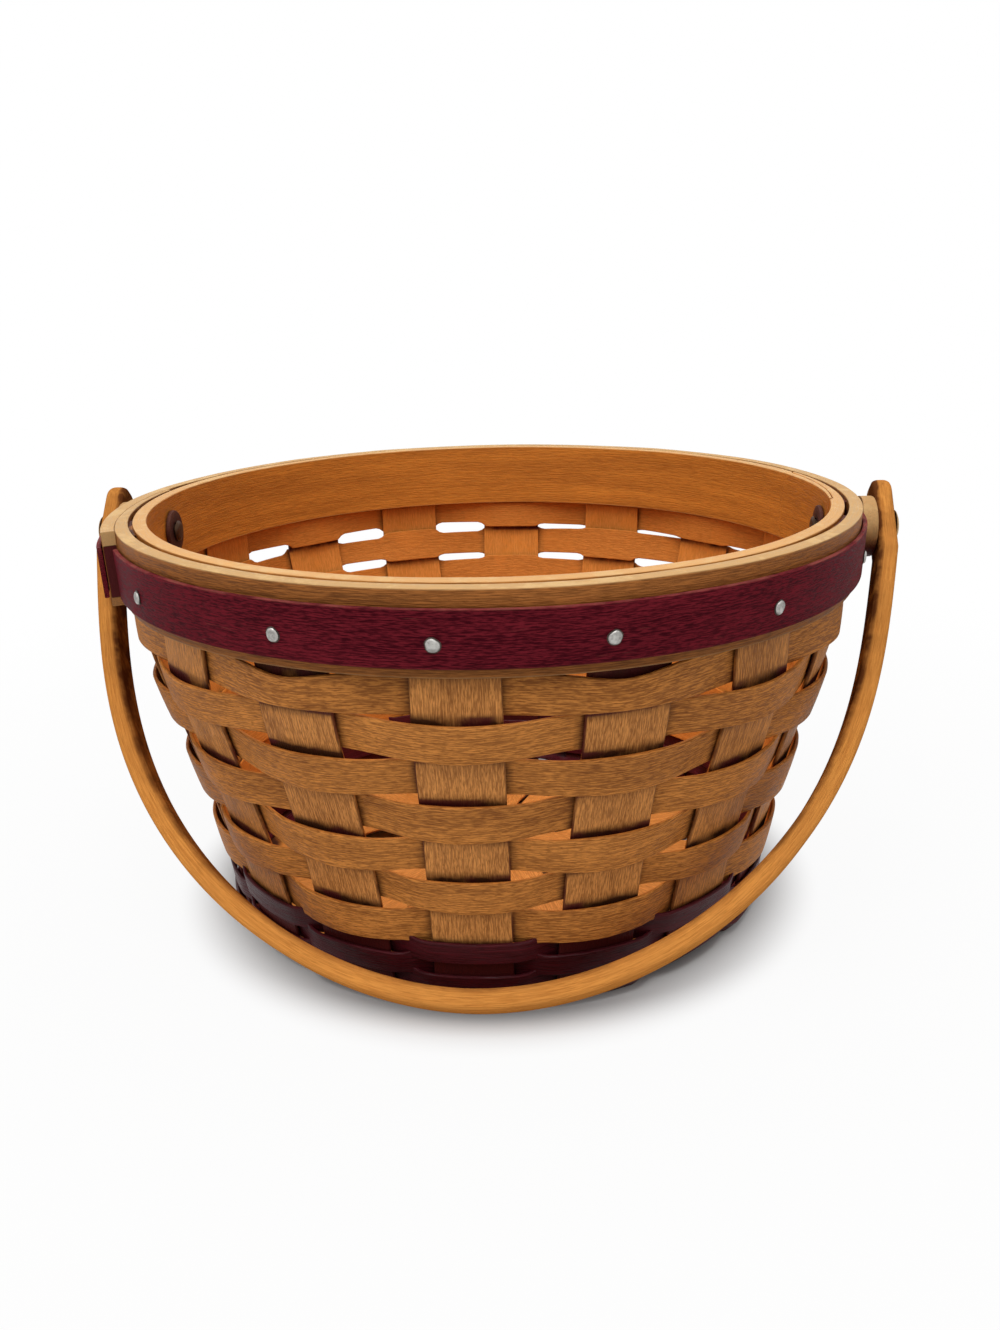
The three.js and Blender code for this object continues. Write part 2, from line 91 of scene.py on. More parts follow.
class Graph:
    """A node tree with short ways to add nodes, set their sockets and link them."""

    def __init__(self, tree: bpy.types.NodeTree) -> None:
        """Wraps a node tree.

        Args:
            tree: The tree that nodes are added to.
        """
        self.tree = tree

    def add(self, kind: str, inputs: Optional[dict] = None, **settings: object) -> bpy.types.Node:
        """Adds a node.

        Args:
            kind: The node's type name.
            inputs: Socket names or numbers to values or to the sockets that feed them.
            **settings: Attributes of the node, set before its sockets.

        Returns:
            The new node.
        """
        node = self.tree.nodes.new(kind)
        for key, value in settings.items():
            setattr(node, key, value)
        for key, value in (inputs or {}).items():
            self.feed(node.inputs[key], value)
        return node

    def feed(self, socket: bpy.types.NodeSocket, value: Feed) -> None:
        """Links a socket to another socket, or sets it to a constant.

        Args:
            socket: The input to feed.
            value: An output socket, a number, a colour or a vector.
        """
        if isinstance(value, bpy.types.NodeSocket):
            self.tree.links.new(value, socket)
        elif socket.type == "RGBA" and len(value) == 3:
            socket.default_value = (*value, 1.0)
        else:
            socket.default_value = value

    def math(self, operation: str, first: Feed, second: Feed = 0.0) -> bpy.types.NodeSocket:
        """Adds a math node.

        Args:
            operation: Blender's name of the operation.
            first: The first operand, a number or a socket.
            second: The second operand, a number or a socket.

        Returns:
            The result's socket.
        """
        return self.add("ShaderNodeMath", {0: first, 1: second}, operation=operation).outputs[0]

    def remap(
        self, value: Feed, low: float, high: float, start: float = 0.0, end: float = 1.0,
    ) -> bpy.types.NodeSocket:
        """Maps a range smoothly to another one.

        Args:
            value: The socket to map.
            low: The value that gives start.
            high: The value that gives end.
            start: Result at low.
            end: Result at high.

        Returns:
            The mapped value's socket.
        """
        inputs = {"Value": value, "From Min": low, "From Max": high, "To Min": start, "To Max": end}
        node = self.add("ShaderNodeMapRange", inputs, interpolation_type="SMOOTHSTEP")
        return node.outputs["Result"]

    def noise(
        self, vector: Feed, scale: float, detail: float, roughness: float = 0.5,
    ) -> bpy.types.NodeSocket:
        """Adds a noise texture.

        Args:
            vector: The coordinates to read it at.
            scale: Its scale.
            detail: Its octaves.
            roughness: How strong the finer octaves are.

        Returns:
            The socket of its value.
        """
        inputs = {"Vector": vector, "Scale": scale, "Detail": detail, "Roughness": roughness}
        return self.add("ShaderNodeTexNoise", inputs).outputs["Fac"]

    def cloud(self, vector: Feed, cloud: "Cloud") -> bpy.types.NodeSocket:
        """Adds a cloud of noise, its range stretched to end at 1.

        Args:
            vector: The coordinates to read it at.
            cloud: The cloud's sizes.

        Returns:
            The socket of its value.
        """
        noise = self.noise(vector, cloud.scale, cloud.octaves, cloud.strength)
        return self.remap(noise, cloud.low, cloud.high, cloud.least)

    def mask(self, name: str) -> bpy.types.NodeSocket:
        """Reads a mask that the mesh carries at its points."""
        node = self.add("ShaderNodeAttribute", attribute_name=name, attribute_type="GEOMETRY")
        return node.outputs["Fac"]

    def mix(self, share: Feed, first: Feed, second: Feed) -> bpy.types.NodeSocket:
        """Mixes two colours.

        Args:
            share: How much of the second, a number or a socket.
            first: The first colour.
            second: The second colour.

        Returns:
            The mixed colour's socket.
        """
        node = self.add("ShaderNodeMix", data_type="RGBA", clamp_factor=True)
        colours = [socket for socket in node.inputs if socket.type == "RGBA"]
        self.feed(node.inputs["Factor"], share)
        self.feed(colours[0], first)
        self.feed(colours[1], second)
        return next(socket for socket in node.outputs if socket.type == "RGBA")

    def weigh(self, parts: Sequence[tuple[bpy.types.NodeSocket, float]]) -> bpy.types.NodeSocket:
        """Adds values up by their weights.

        Args:
            parts: Pairs of a value and its weight.

        Returns:
            The sum's socket.
        """
        terms = [self.math("MULTIPLY", value, weight) for value, weight in parts]
        total = terms[0]
        for term in terms[1:]:
            total = self.math("ADD", total, term)
        return total


class Effect(Enum):
    """Shared effects, each a shader node group."""

    GRAIN = "splint_grain"
    CREVICE = "crevice_shade_and_dye"
    WEAR = "edge_wear"


@dataclass(frozen=True)
class GrainLayer:
    """One layer of the grain: its features' length and width in mm, octaves, their strength, weight."""

    length: float
    width: float
    octaves: float
    strength: float = 0.5
    weight: float = 1.0


@dataclass(frozen=True)
class Cloud:
    """Noise in space: its scale, octaves and their strength, the range kept of it, its least result."""

    scale: float
    octaves: float
    strength: float
    low: float
    high: float
    least: float = 0.0


FIGURE = GrainLayer(48, 8, 3, 0.55, weight=0.55)
STREAK = GrainLayer(26, 0.9, 2, weight=0.15)
TONE = GrainLayer(90, 40, 1, weight=0.3)
FIBRE = GrainLayer(7, 0.32, 4, 0.65, weight=0.55)
SPECK = GrainLayer(2.6, 0.28, 1, weight=0.45)
FLECK = GrainLayer(1.5, 0.3, 2)
BROAD_RANGE = (0.37, 0.63)
FINE_RANGE = (0.41, 0.59)
FLECK_RANGE = (0.5, 0.72)
FLECK_DEPTH = 0.6
# The cloud below makes the painted shade, and the stains laid with it, uneven.
SHADE_AND_STAIN_CLOUD = Cloud(130.0, 3.0, 0.6, 0.25, 0.7, least=0.35)
DYE_SPOTS = Cloud(70.0, 2.0, 0.5, 0.5, 0.62)
BLEED_RANGE = (0.35, 1.0)
COVER_RANGE = (2.0, 3.0)
RUB_PATCHES = Cloud(90.0, 4.0, 0.65, 0.36, 0.62, least=0.15)
SCRATCHES = Cloud(1.0, 3.0, 0.7, 0.66, 0.74)
SCRATCH_SCALE = (60, 60, 900)


class EffectLibrary:
    """Builds each shared effect once and places it in materials."""

    def __init__(self) -> None:
        """Starts with no effect built."""
        self.groups: dict[Effect, bpy.types.NodeTree] = {}

    def place(self, graph: Graph, effect: Effect, inputs: dict) -> bpy.types.Node:
        """Places an effect in a material.

        Args:
            graph: The material's graph.
            effect: Which effect.
            inputs: Values of its named inputs.

        Returns:
            The group node.
        """
        if effect not in self.groups:
            makers = {
                Effect.GRAIN: self.make_grain,
                Effect.CREVICE: self.make_crevice,
                Effect.WEAR: self.make_wear,
            }
            self.groups[effect] = makers[effect]()
        node = graph.add("ShaderNodeGroup", node_tree=self.groups[effect])
        for name, value in inputs.items():
            graph.feed(node.inputs[name], value)
        return node

    def start(
        self, effect: Effect, inputs: dict[str, float], outputs: Sequence[str],
    ) -> tuple[Graph, bpy.types.Node, bpy.types.Node]:
        """Makes an empty group with its sockets.

        Args:
            effect: Which effect.
            inputs: Names of the inputs and their usual values.
            outputs: Names of the outputs.

        Returns:
            The group's graph, its input node and its output node.
        """
        tree = bpy.data.node_groups.new(effect.value, "ShaderNodeTree")
        for name, value in inputs.items():
            socket = tree.interface.new_socket(name, in_out="INPUT", socket_type="NodeSocketFloat")
            socket.default_value = value
        for name in outputs:
            tree.interface.new_socket(name, in_out="OUTPUT", socket_type="NodeSocketFloat")
        graph = Graph(tree)
        return graph, graph.add("NodeGroupInput"), graph.add("NodeGroupOutput")

    def make_grain(self) -> bpy.types.NodeTree:
        """Makes the wood's grain: broad figure, fine fibres, short flecks and their height.

        Returns:
            The node group.
        """
        graph, given, result = self.start(
            Effect.GRAIN,
            {"Length": 1.0},
            ("Figure", "Fibre", "Fleck", "Height"),
        )
        place = graph.add("ShaderNodeAttribute", attribute_name="grain", attribute_type="GEOMETRY")
        split = graph.add("ShaderNodeSeparateXYZ", {"Vector": place.outputs["Vector"]})
        along = graph.math("DIVIDE", split.outputs["X"], given.outputs["Length"])
        across = split.outputs["Y"]

        def laid(layer: GrainLayer) -> bpy.types.NodeSocket:
            """Lays noise in which a feature of the layer's length and width is one unit.

            Args:
                layer: The layer of the grain.

            Returns:
                The noise's socket.
            """
            inputs = {
                "X": graph.math("MULTIPLY", along, 1 / (layer.length * MM)),
                "Y": graph.math("MULTIPLY", across, 1 / (layer.width * MM)),
                "Z": graph.math("MULTIPLY", split.outputs["Z"], 1 / (layer.width * MM)),
            }
            vector = graph.add("ShaderNodeCombineXYZ", inputs).outputs["Vector"]
            return graph.noise(vector, 1.0, layer.octaves, layer.strength)

        broad = graph.weigh([(laid(layer), layer.weight) for layer in (FIGURE, STREAK, TONE)])
        fine = graph.weigh([(laid(layer), layer.weight) for layer in (FIBRE, SPECK)])
        fine = graph.remap(fine, *FINE_RANGE)
        flecks = graph.remap(laid(FLECK), *FLECK_RANGE)
        graph.feed(result.inputs["Figure"], graph.remap(broad, *BROAD_RANGE))
        graph.feed(result.inputs["Fibre"], fine)
        graph.feed(result.inputs["Fleck"], flecks)
        graph.feed(result.inputs["Height"], graph.weigh([(fine, 1.0), (flecks, -FLECK_DEPTH)]))
        return graph.tree

    def make_crevice(self) -> bpy.types.NodeTree:
        """Makes the painted shade, with the stains laid by the same mask, darkest where strips pass under
        each other, and the dye that bleeds there.

        Returns:
            The node group.
        """
        graph, given, result = self.start(
            Effect.CREVICE,
            {"Stain Amount": 1.0, "Dye Amount": 0.0},
            ("Stain", "Dye"),
        )
        tuck = graph.mask("tuck")
        place = graph.add("ShaderNodeTexCoord").outputs["Object"]
        stain = graph.math("MULTIPLY", tuck, graph.cloud(place, SHADE_AND_STAIN_CLOUD))
        bleed = graph.math("MULTIPLY", graph.remap(tuck, *BLEED_RANGE), graph.cloud(place, DYE_SPOTS))
        dye = graph.math("MAXIMUM", bleed, graph.remap(tuck, *COVER_RANGE))
        graph.feed(result.inputs["Stain"], graph.math("MULTIPLY", stain, given.outputs["Stain Amount"]))
        graph.feed(result.inputs["Dye"], graph.math("MULTIPLY", dye, given.outputs["Dye Amount"]))
        return graph.tree

    def make_wear(self) -> bpy.types.NodeTree:
        """Makes the wear along edges, broken up by noise, and thin scratches.

        Returns:
            The node group.
        """
        graph, given, result = self.start(
            Effect.WEAR,
            {"Rub Amount": 1.0, "Scratch Amount": 0.0, "Evenness": 0.0},
            ("Rub", "Scratch"),
        )
        edge = graph.mask("edge")
        place = graph.add("ShaderNodeTexCoord").outputs["Object"]
        patches = graph.math("MAXIMUM", graph.cloud(place, RUB_PATCHES), given.outputs["Evenness"])
        rub = graph.math("MULTIPLY", edge, patches)
        stretch = graph.add("ShaderNodeMapping", {"Vector": place, "Scale": SCRATCH_SCALE})
        scratch = graph.cloud(stretch.outputs["Vector"], SCRATCHES)
        graph.feed(result.inputs["Rub"], graph.math("MULTIPLY", rub, given.outputs["Rub Amount"]))
        graph.feed(result.inputs["Scratch"], graph.math("MULTIPLY", scratch, given.outputs["Scratch Amount"]))
        return graph.tree


EFFECTS = EffectLibrary()
# The first colour below is painted shade: it darkens crevices, hidden faces and the bands' lower edges.
SHADE_BROWN: Colour = (0.055, 0.017, 0.006)
DYE_RED: Colour = (0.075, 0.008, 0.010)


@dataclass(frozen=True)
class Finish:
    """A finish and the record's slot that it stands in."""

    name: str
    slot: Slot

    def material(self) -> bpy.types.Material:
        """Gives the finish's material, built at its first use.

        Returns:
            The material.
        """
        material = bpy.data.materials.get(self.name)
        if material is None:
            material = bpy.data.materials.new(self.name)
            material.use_nodes = True
            self.dress(Graph(material.node_tree), material.node_tree.nodes["Principled BSDF"])
        return material

    def dress(self, graph: Graph, shader: bpy.types.Node) -> None:
        """Lays the finish's nodes and feeds its shader; each kind of finish has its own."""
        raise NotImplementedError


@dataclass(frozen=True)
class WoodFinish(Finish):
    """A stained wood finish.

    The colours are the wood's pale and dark grain, its flecks, the bare wood of its rubbed edges, the painted
    shade of its crevices and hidden faces, with stains laid the same way, and the dye that bleeds into them.
    """

    pale: Colour
    dark: Colour
    fleck: Colour
    bare: Colour
    stain: Colour = SHADE_BROWN
    dye: Colour = DYE_RED
    roughness: float = 0.5
    smoother: float = 0.07
    rougher: float = 0.09
    shade_and_stain_amount: float = 1.0
    dye_amount: float = 0.0
    wear_amount: float = 0.6
    scratch_amount: float = 0.0
    wear_evenness: float = 0.0
    fleck_amount: float = 0.5
    fibre_amount: float = 0.65
    grain_length: float = 1.0
    bump: float = 0.4
    bump_distance: float = 0.0002
    gloss: float = 0.09

    def dress(self, graph: Graph, shader: bpy.types.Node) -> None:
        """Lays the grain, its flecks, the wear, and the painted shade with its stains over each other.

        Args:
            graph: The material's graph.
            shader: Its shader.
        """
        grain = EFFECTS.place(graph, Effect.GRAIN, {"Length": self.grain_length})
        crevice = EFFECTS.place(
            graph, Effect.CREVICE, {"Stain Amount": self.shade_and_stain_amount, "Dye Amount": self.dye_amount},
        )
        wear = EFFECTS.place(graph, Effect.WEAR, {
            "Rub Amount": self.wear_amount,
            "Scratch Amount": self.scratch_amount,
            "Evenness": self.wear_evenness,
        })
        fibre, figure = grain.outputs["Fibre"], grain.outputs["Figure"]
        tone = graph.weigh([(fibre, self.fibre_amount), (figure, 1.0 - self.fibre_amount)])
        colour = graph.mix(tone, self.dark, self.pale)
        layers = (
            (graph.math("MULTIPLY", grain.outputs["Fleck"], self.fleck_amount), self.fleck),
            (wear.outputs["Rub"], self.bare),
            (wear.outputs["Scratch"], self.bare),
            # The mask's painted shade and stains, then its dye:
            (crevice.outputs["Stain"], self.stain),
            (crevice.outputs["Dye"], self.dye),
        )
        for share, paint in layers:
            colour = graph.mix(share, colour, paint)
        graph.feed(shader.inputs["Base Color"], colour)
        smoothest, roughest = self.roughness - self.smoother, self.roughness + self.rougher
        rough = graph.remap(fibre, 0.0, 1.0, smoothest, roughest)
        graph.feed(shader.inputs["Roughness"], rough)
        shader.inputs["Specular IOR Level"].default_value = self.gloss
        relief = {"Height": grain.outputs["Height"], "Strength": self.bump, "Distance": self.bump_distance}
        graph.feed(shader.inputs["Normal"], graph.add("ShaderNodeBump", relief).outputs["Normal"])


@dataclass(frozen=True)
class MetalFinish(Finish):
    """A dull metal finish with tarnish in its hollows and bright rubbed spots."""

    bright: Colour
    dull: Colour
    tarnish: Colour
    roughness: float = 0.4
    rougher: float = 0.15
    metallic: float = 0.85
    patches: Cloud = Cloud(700.0, 4.0, 0.65, 0.35, 0.65)
    rough_range: tuple[float, float] = (0.3, 0.7)
    bump: float = 0.35
    bump_distance: float = 0.0003

    def dress(self, graph: Graph, shader: bpy.types.Node) -> None:
        """Lays dull patches, bright rubbed edges and tarnish over each other.

        Args:
            graph: The material's graph.
            shader: Its shader.
        """
        crevice = EFFECTS.place(graph, Effect.CREVICE, {"Stain Amount": 1.0})
        wear = EFFECTS.place(graph, Effect.WEAR, {"Rub Amount": 1.0})
        place = graph.add("ShaderNodeTexCoord").outputs["Object"]
        patch = graph.noise(place, self.patches.scale, self.patches.octaves, self.patches.strength)
        shine = graph.remap(patch, self.patches.low, self.patches.high)
        colour = graph.mix(shine, self.dull, self.bright)
        colour = graph.mix(wear.outputs["Rub"], colour, self.bright)
        # Tarnish on the marked low parts; under a tack's head this dark ring is also painted shadow.
        colour = graph.mix(crevice.outputs["Stain"], colour, self.tarnish)
        graph.feed(shader.inputs["Base Color"], colour)
        rough = graph.remap(patch, *self.rough_range, self.roughness + self.rougher, self.roughness)
        graph.feed(shader.inputs["Roughness"], rough)
        shader.inputs["Metallic"].default_value = self.metallic
        relief = {"Height": patch, "Strength": self.bump, "Distance": self.bump_distance}
        graph.feed(shader.inputs["Normal"], graph.add("ShaderNodeBump", relief).outputs["Normal"])


SPLINT = WoodFinish(
    name="honey_splint",
    slot=Slot.SPLINT,
    pale=(0.74, 0.290, 0.063),
    dark=(0.245, 0.082, 0.017),
    fleck=(0.18, 0.052, 0.010),
    bare=(0.77, 0.246, 0.037),
    dye_amount=0.8,
    shade_and_stain_amount=0.85,
    wear_amount=0.7,
    wear_evenness=0.8,
    fleck_amount=0.6,
)
UPRIGHT = WoodFinish(
    name="pale_upright",
    slot=Slot.SPLINT,
    pale=(0.80, 0.340, 0.092),
    dark=(0.29, 0.104, 0.026),
    fleck=(0.27, 0.088, 0.019),
    bare=(0.86, 0.290, 0.043),
    dye_amount=0.8,
    shade_and_stain_amount=0.9,
    wear_amount=0.75,
    wear_evenness=0.8,
    fleck_amount=0.6,
)
BAND = WoodFinish(
    name="honey_band",
    slot=Slot.BAND,
    pale=(0.45, 0.162, 0.038),
    dark=(0.16, 0.054, 0.012),
    fleck=(0.13, 0.040, 0.008),
    bare=(0.66, 0.43, 0.19),
    wear_amount=0.9,
    wear_evenness=0.75,
    shade_and_stain_amount=0.9,
    dye_amount=0.9,
    grain_length=1.6,
)
INNER_BAND = WoodFinish(
    name="amber_inner_band",
    slot=Slot.BAND,
    pale=(0.75, 0.266, 0.037),
    dark=(0.43, 0.138, 0.019),
    fleck=(0.28, 0.080, 0.013),
    bare=(0.68, 0.43, 0.19),
    wear_amount=0.9,
    wear_evenness=0.75,
    shade_and_stain_amount=0.8,
    fleck_amount=0.25,
    fibre_amount=0.4,
    grain_length=1.8,
)
HANDLE_WOOD = WoodFinish(
    name="golden_handle",
    slot=Slot.BAND,
    pale=(0.86, 0.365, 0.079),
    dark=(0.60, 0.224, 0.045),
    fleck=(0.25, 0.075, 0.013),
    # This colour paints the shade on the legs, and the stains near the pivots.
    stain=(0.12, 0.038, 0.011),
    bare=(0.64, 0.26, 0.06),
    wear_amount=0.35,
    fleck_amount=0.3,
    grain_length=2.2,
    roughness=0.42,
    shade_and_stain_amount=0.75,
    gloss=0.0,
)
BURGUNDY = WoodFinish(
    name="burgundy_splint",
    slot=Slot.BURGUNDY,
    pale=(0.185, 0.014, 0.024),
    dark=(0.045, 0.002, 0.006),
    fleck=(0.040, 0.002, 0.005),
    stain=(0.014, 0.003, 0.003),
    dye=(0.05, 0.006, 0.008),
    bare=(0.34, 0.10, 0.075),
    wear_amount=0.5,
    scratch_amount=0.22,
    roughness=0.5,
    grain_length=0.8,
    fibre_amount=0.8,
    gloss=0.02,
)
WINE_BASE = WoodFinish(
    name="wine_base_splint",
    slot=Slot.BURGUNDY,
    pale=(0.085, 0.007, 0.012),
    dark=(0.034, 0.002, 0.004),
    fleck=(0.020, 0.001, 0.003),
    stain=(0.006, 0.001, 0.001),
    dye=(0.02, 0.002, 0.003),
    bare=(0.13, 0.012, 0.018),
    wear_amount=0.25,
    roughness=0.4,
    grain_length=2.4,
    gloss=0.14,
)
DARK_WOOD = WoodFinish(
    name="dark_washer_wood",
    slot=Slot.DARK,
    pale=(0.085, 0.026, 0.018),
    dark=(0.045, 0.013, 0.010),
    fleck=(0.02, 0.006, 0.005),
    stain=(0.012, 0.004, 0.004),
    dye=(0.02, 0.004, 0.005),
    bare=(0.16, 0.06, 0.035),
    wear_amount=0.4,
)
TACK_STEEL = MetalFinish(
    name="dull_tack_steel",
    slot=Slot.TACK,
    bright=(0.50, 0.49, 0.46),
    dull=(0.26, 0.25, 0.235),
    tarnish=(0.08, 0.06, 0.05),
    roughness=0.42,
)
AGED_BRASS = MetalFinish(
    name="aged_rivet_brass",
    slot=Slot.RIVET,
    bright=(0.50, 0.33, 0.15),
    dull=(0.26, 0.155, 0.07),
    tarnish=(0.06, 0.03, 0.015),
    roughness=0.38,
)


# Meshes

FLAT_PART = 0.9
NEAR_CORNER = 0.985
MOST_CORNER = 0.48


@dataclass
class Skin:
    """A lofted skin in millimetres, with what its finish reads at each point."""

    points: np.ndarray
    grain: np.ndarray
    edge: np.ndarray
    tuck: np.ndarray
    is_ring: bool = False

    def faces(self) -> list[tuple[int, ...]]:
        """Lists the faces between the sections, and the caps of an open skin.

        Returns:
            Vertex numbers of each face.
        """
        sections, count = self.points.shape[:2]
        spans = sections if self.is_ring else sections - 1
        here = np.arange(spans)[:, None] * count + np.arange(count)[None, :]
        beside = np.arange(spans)[:, None] * count + (np.arange(count)[None, :] + 1) % count
        ahead = (np.arange(spans)[:, None] + 1) % sections * count
        quads = np.stack([
            here,
            ahead + np.arange(count)[None, :],
            ahead + (np.arange(count)[None, :] + 1) % count,
            beside,
        ], axis=-1).reshape(-1, 4)
        faces = [tuple(int(i) for i in quad) for quad in quads]
        if not self.is_ring:
            last = (sections - 1) * count
            faces.append(tuple(range(count)))
            faces.append(tuple(last + i for i in reversed(range(count))))
        return faces

    def volume(self) -> float:
        """Gives six times the signed volume, positive if the faces turn outwards."""
        flat = self.points.reshape(-1, 3)
        total = 0.0
        for face in self.faces():
            for i in range(1, len(face) - 1):
                a, b, c = flat[face[0]], flat[face[i]], flat[face[i + 1]]
                total += float(np.dot(a, np.cross(b, c)))
        return total


@dataclass(frozen=True)
class Section:
    """A rounded rectangle, as a template for the sections of a strip."""

    across: np.ndarray
    through: np.ndarray
    turn_across: np.ndarray
    turn_through: np.ndarray
    edge: np.ndarray

    @classmethod
    def rounded(cls, flats: int, corner_steps: int = 3) -> "Section":
        """Makes the template.

        Args:
            flats: Points along each long side, between its corners.
            corner_steps: Faces round each corner.

        Returns:
            The template: each point is a place on the inner rectangle and a direction outwards.
        """
        rows: list[tuple[float, float, float, float, float]] = []
        flat = np.linspace(-FLAT_PART, FLAT_PART, flats)
        spread = np.concatenate([[-NEAR_CORNER], flat, [NEAR_CORNER]])
        for across in spread:
            rows.append((float(across), 1.0, 0.0, 1.0, 0.0))
        for corner, (x, y, begin) in enumerate([(1, 1, 90), (1, -1, 0), (-1, -1, -90), (-1, 1, -180)]):
            for step in range(corner_steps + 1):
                turn = math.radians(begin - 90 * step / corner_steps)
                rows.append((float(x), float(y), math.cos(turn), math.sin(turn), 1.0))
            if corner == 1:
                for across in spread[::-1]:
                    rows.append((float(across), -1.0, 0.0, -1.0, 0.0))
        columns = np.array(rows).T
        return cls(*columns)

    def spread_out(
        self, width: np.ndarray, thickness: np.ndarray, radius: float,
    ) -> tuple[np.ndarray, np.ndarray]:
        """Sizes the template.

        Args:
            width: The width of each section, in mm.
            thickness: The thickness of each section, in mm.
            radius: The corners' radius, in mm.

        Returns:
            The places across the width and through the thickness, one row for each section.
        """
        width, thickness = width[:, None], thickness[:, None]
        corner = np.minimum(radius, MOST_CORNER * np.minimum(width, thickness))
        across = self.across * (width / 2 - corner) + corner * self.turn_across
        through = self.through * (thickness / 2 - corner) + corner * self.turn_through
        return across, through


def ramp(value: Numbers, start: float, run: float) -> Numbers:
    """Gives 0 up to a start, 1 from a run after it, and a straight rise between them."""
    return np.clip((value - start) / run, 0, 1)


def smooth(part: Numbers) -> Numbers:
    """Eases a rise from 0 to 1 at both of its ends."""
    return part * part * (3 - 2 * part)


def around(angle: np.ndarray, radius: np.ndarray, height: np.ndarray) -> np.ndarray:
    """Turns angles, radii and heights into points."""
    return np.stack([radius * np.cos(angle), radius * np.sin(angle), height + 0 * angle], axis=-1)


def wavy(count: int, seed: int, swings: Sequence[tuple[int, float]]) -> np.ndarray:
    """Gives a closed, smooth, seeded wander.

    Args:
        count: How many samples go once round.
        seed: The seed of its phases.
        swings: Pairs of waves per round and amplitude.

    Returns:
        The samples.
    """
    rng = np.random.default_rng(seed)
    turn = np.linspace(0, 2 * math.pi, count, endpoint=False)
    total = np.zeros(count)
    for waves, amplitude in swings:
        total += amplitude * rng.uniform(0.6, 1.0) * np.sin(waves * turn + rng.uniform(0, 2 * math.pi))
    return total


def add_piece(name: str, skin: Skin, finish: Finish, body: Body, node: str) -> None:
    """Makes a piece from its skin, dresses it, sets it on its body and reports it.

    Args:
        name: The piece's name.
        skin: Its skin.
        finish: Its finish.
        body: The body that it rides on.
        node: The node that it stands for.
    """
    faces = skin.faces()
    if skin.volume() < 0:
        faces = [tuple(reversed(face)) for face in faces]
    mesh = bpy.data.meshes.new(name)
    mesh.from_pydata((skin.points.reshape(-1, 3) * MM).tolist(), [], faces)
    grain = mesh.attributes.new("grain", "FLOAT_VECTOR", "POINT")
    grain.data.foreach_set("vector", skin.grain.ravel() * MM)
    for mask in ("edge", "tuck"):
        layer = mesh.attributes.new(mask, "FLOAT", "POINT")
        layer.data.foreach_set("value", getattr(skin, mask).ravel())
    mesh.shade_smooth()
    mesh.set_sharp_from_angle(angle=SHARP_ANGLE)
    mesh.materials.append(finish.material())
    mesh.update()
    piece = bpy.data.objects.new(name, mesh)
    bpy.context.scene.collection.objects.link(piece)
    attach(piece, body.value)
    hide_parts(node)
    LOG.info("%s: %d points, rides %s", name, len(mesh.vertices), body.value)


# The wall's shape


@dataclass
class WallShape:
    """The profile of the basket's wall, from the middle of the base to the rim, and its stock, in mm."""

    rim_diameter: float = 204.0
    rim_height: float = 116.0
    shoulder_diameter: float = 193.6
    shoulder_below_rim: float = 30.0
    foot_diameter: float = 156.8
    foot_rise: float = 4.5
    foot_lean: float = 5.0
    foot_pull: float = 0.4
    shoulder_pull: float = 0.1
    splint: float = 1.0
    seat_gap: float = 0.3
    bulge: float = 0.8
    narrow_bulge: float = 0.2
    band_thickness: float = 3.3
    band_height: float = 19.6
    base_samples: int = 60
    wall_samples: int = 400
    top_samples: int = 80
    normal_step: float = 0.4

    def __post_init__(self) -> None:
        """Samples the profile and its length."""
        level = self.splint + self.seat_gap + self.splint / 2
        foot = np.array([self.foot_diameter / 2, self.foot_rise])
        shoulder = np.array([self.shoulder_diameter / 2, self.rim_height - self.shoulder_below_rim])
        wall_radius = self.rim_diameter / 2 - self.band_thickness - self.seat_gap - self.splint / 2
        rim = np.array([wall_radius, self.rim_height])
        lean = math.tan(math.radians(self.foot_lean))
        slope = (rim[0] - shoulder[0]) / (rim[1] - shoulder[1])
        rise = shoulder[1] - foot[1]
        corner = np.array([foot[0] - (foot[1] - level) * lean, level])
        self.flat_radius = float(corner[0] - (foot[1] - level))
        flat = np.array([self.flat_radius, level])
        lower = foot + self.foot_pull * rise * np.array([lean, 1.0])
        upper = shoulder - self.shoulder_pull * rise * np.array([slope, 1.0])
        base = np.linspace([0.0, level], flat, self.base_samples)
        t = np.linspace(0, 1, self.base_samples)[1:, None]
        bend = (1 - t) ** 2 * flat + 2 * t * (1 - t) * corner + t ** 2 * foot
        t = np.linspace(0, 1, self.wall_samples)[1:, None]
        wall = (1 - t) ** 3 * foot + 3 * t * (1 - t) ** 2 * lower
        wall = wall + 3 * t ** 2 * (1 - t) * upper + t ** 3 * shoulder
        top = np.linspace(shoulder, rim, self.top_samples)[1:]
        self.samples = np.concatenate([base, bend, wall, top])
        steps = np.linalg.norm(np.diff(self.samples, axis=0), axis=1)
        self.lengths = np.concatenate([[0.0], np.cumsum(steps)])
        self.corner_end = float(self.lengths[len(base) + len(bend) - 1])

    @property
    def length(self) -> float:
        """Gives the length of the whole profile."""
        return float(self.lengths[-1])

    def at(self, length: np.ndarray) -> tuple[np.ndarray, np.ndarray]:
        """Gives points of the wall.

        Args:
            length: Lengths along the profile from the middle of the base.

        Returns:
            Points as radius and height, and the outward normals there.
        """
        length = np.clip(length, 0, self.length)
        point = self._point(length)
        ahead = self._point(np.minimum(length + self.normal_step, self.length))
        behind = self._point(np.maximum(length - self.normal_step, 0.0))
        along = ahead - behind
        along /= np.linalg.norm(along, axis=-1, keepdims=True)
        return point, np.stack([along[..., 1], -along[..., 0]], axis=-1)

    def _point(self, length: np.ndarray) -> np.ndarray:
        """Gives the profile's points at lengths along it."""
        radius = np.interp(length, self.lengths, self.samples[:, 0])
        height = np.interp(length, self.lengths, self.samples[:, 1])
        return np.stack([radius, height], axis=-1)


# The weave


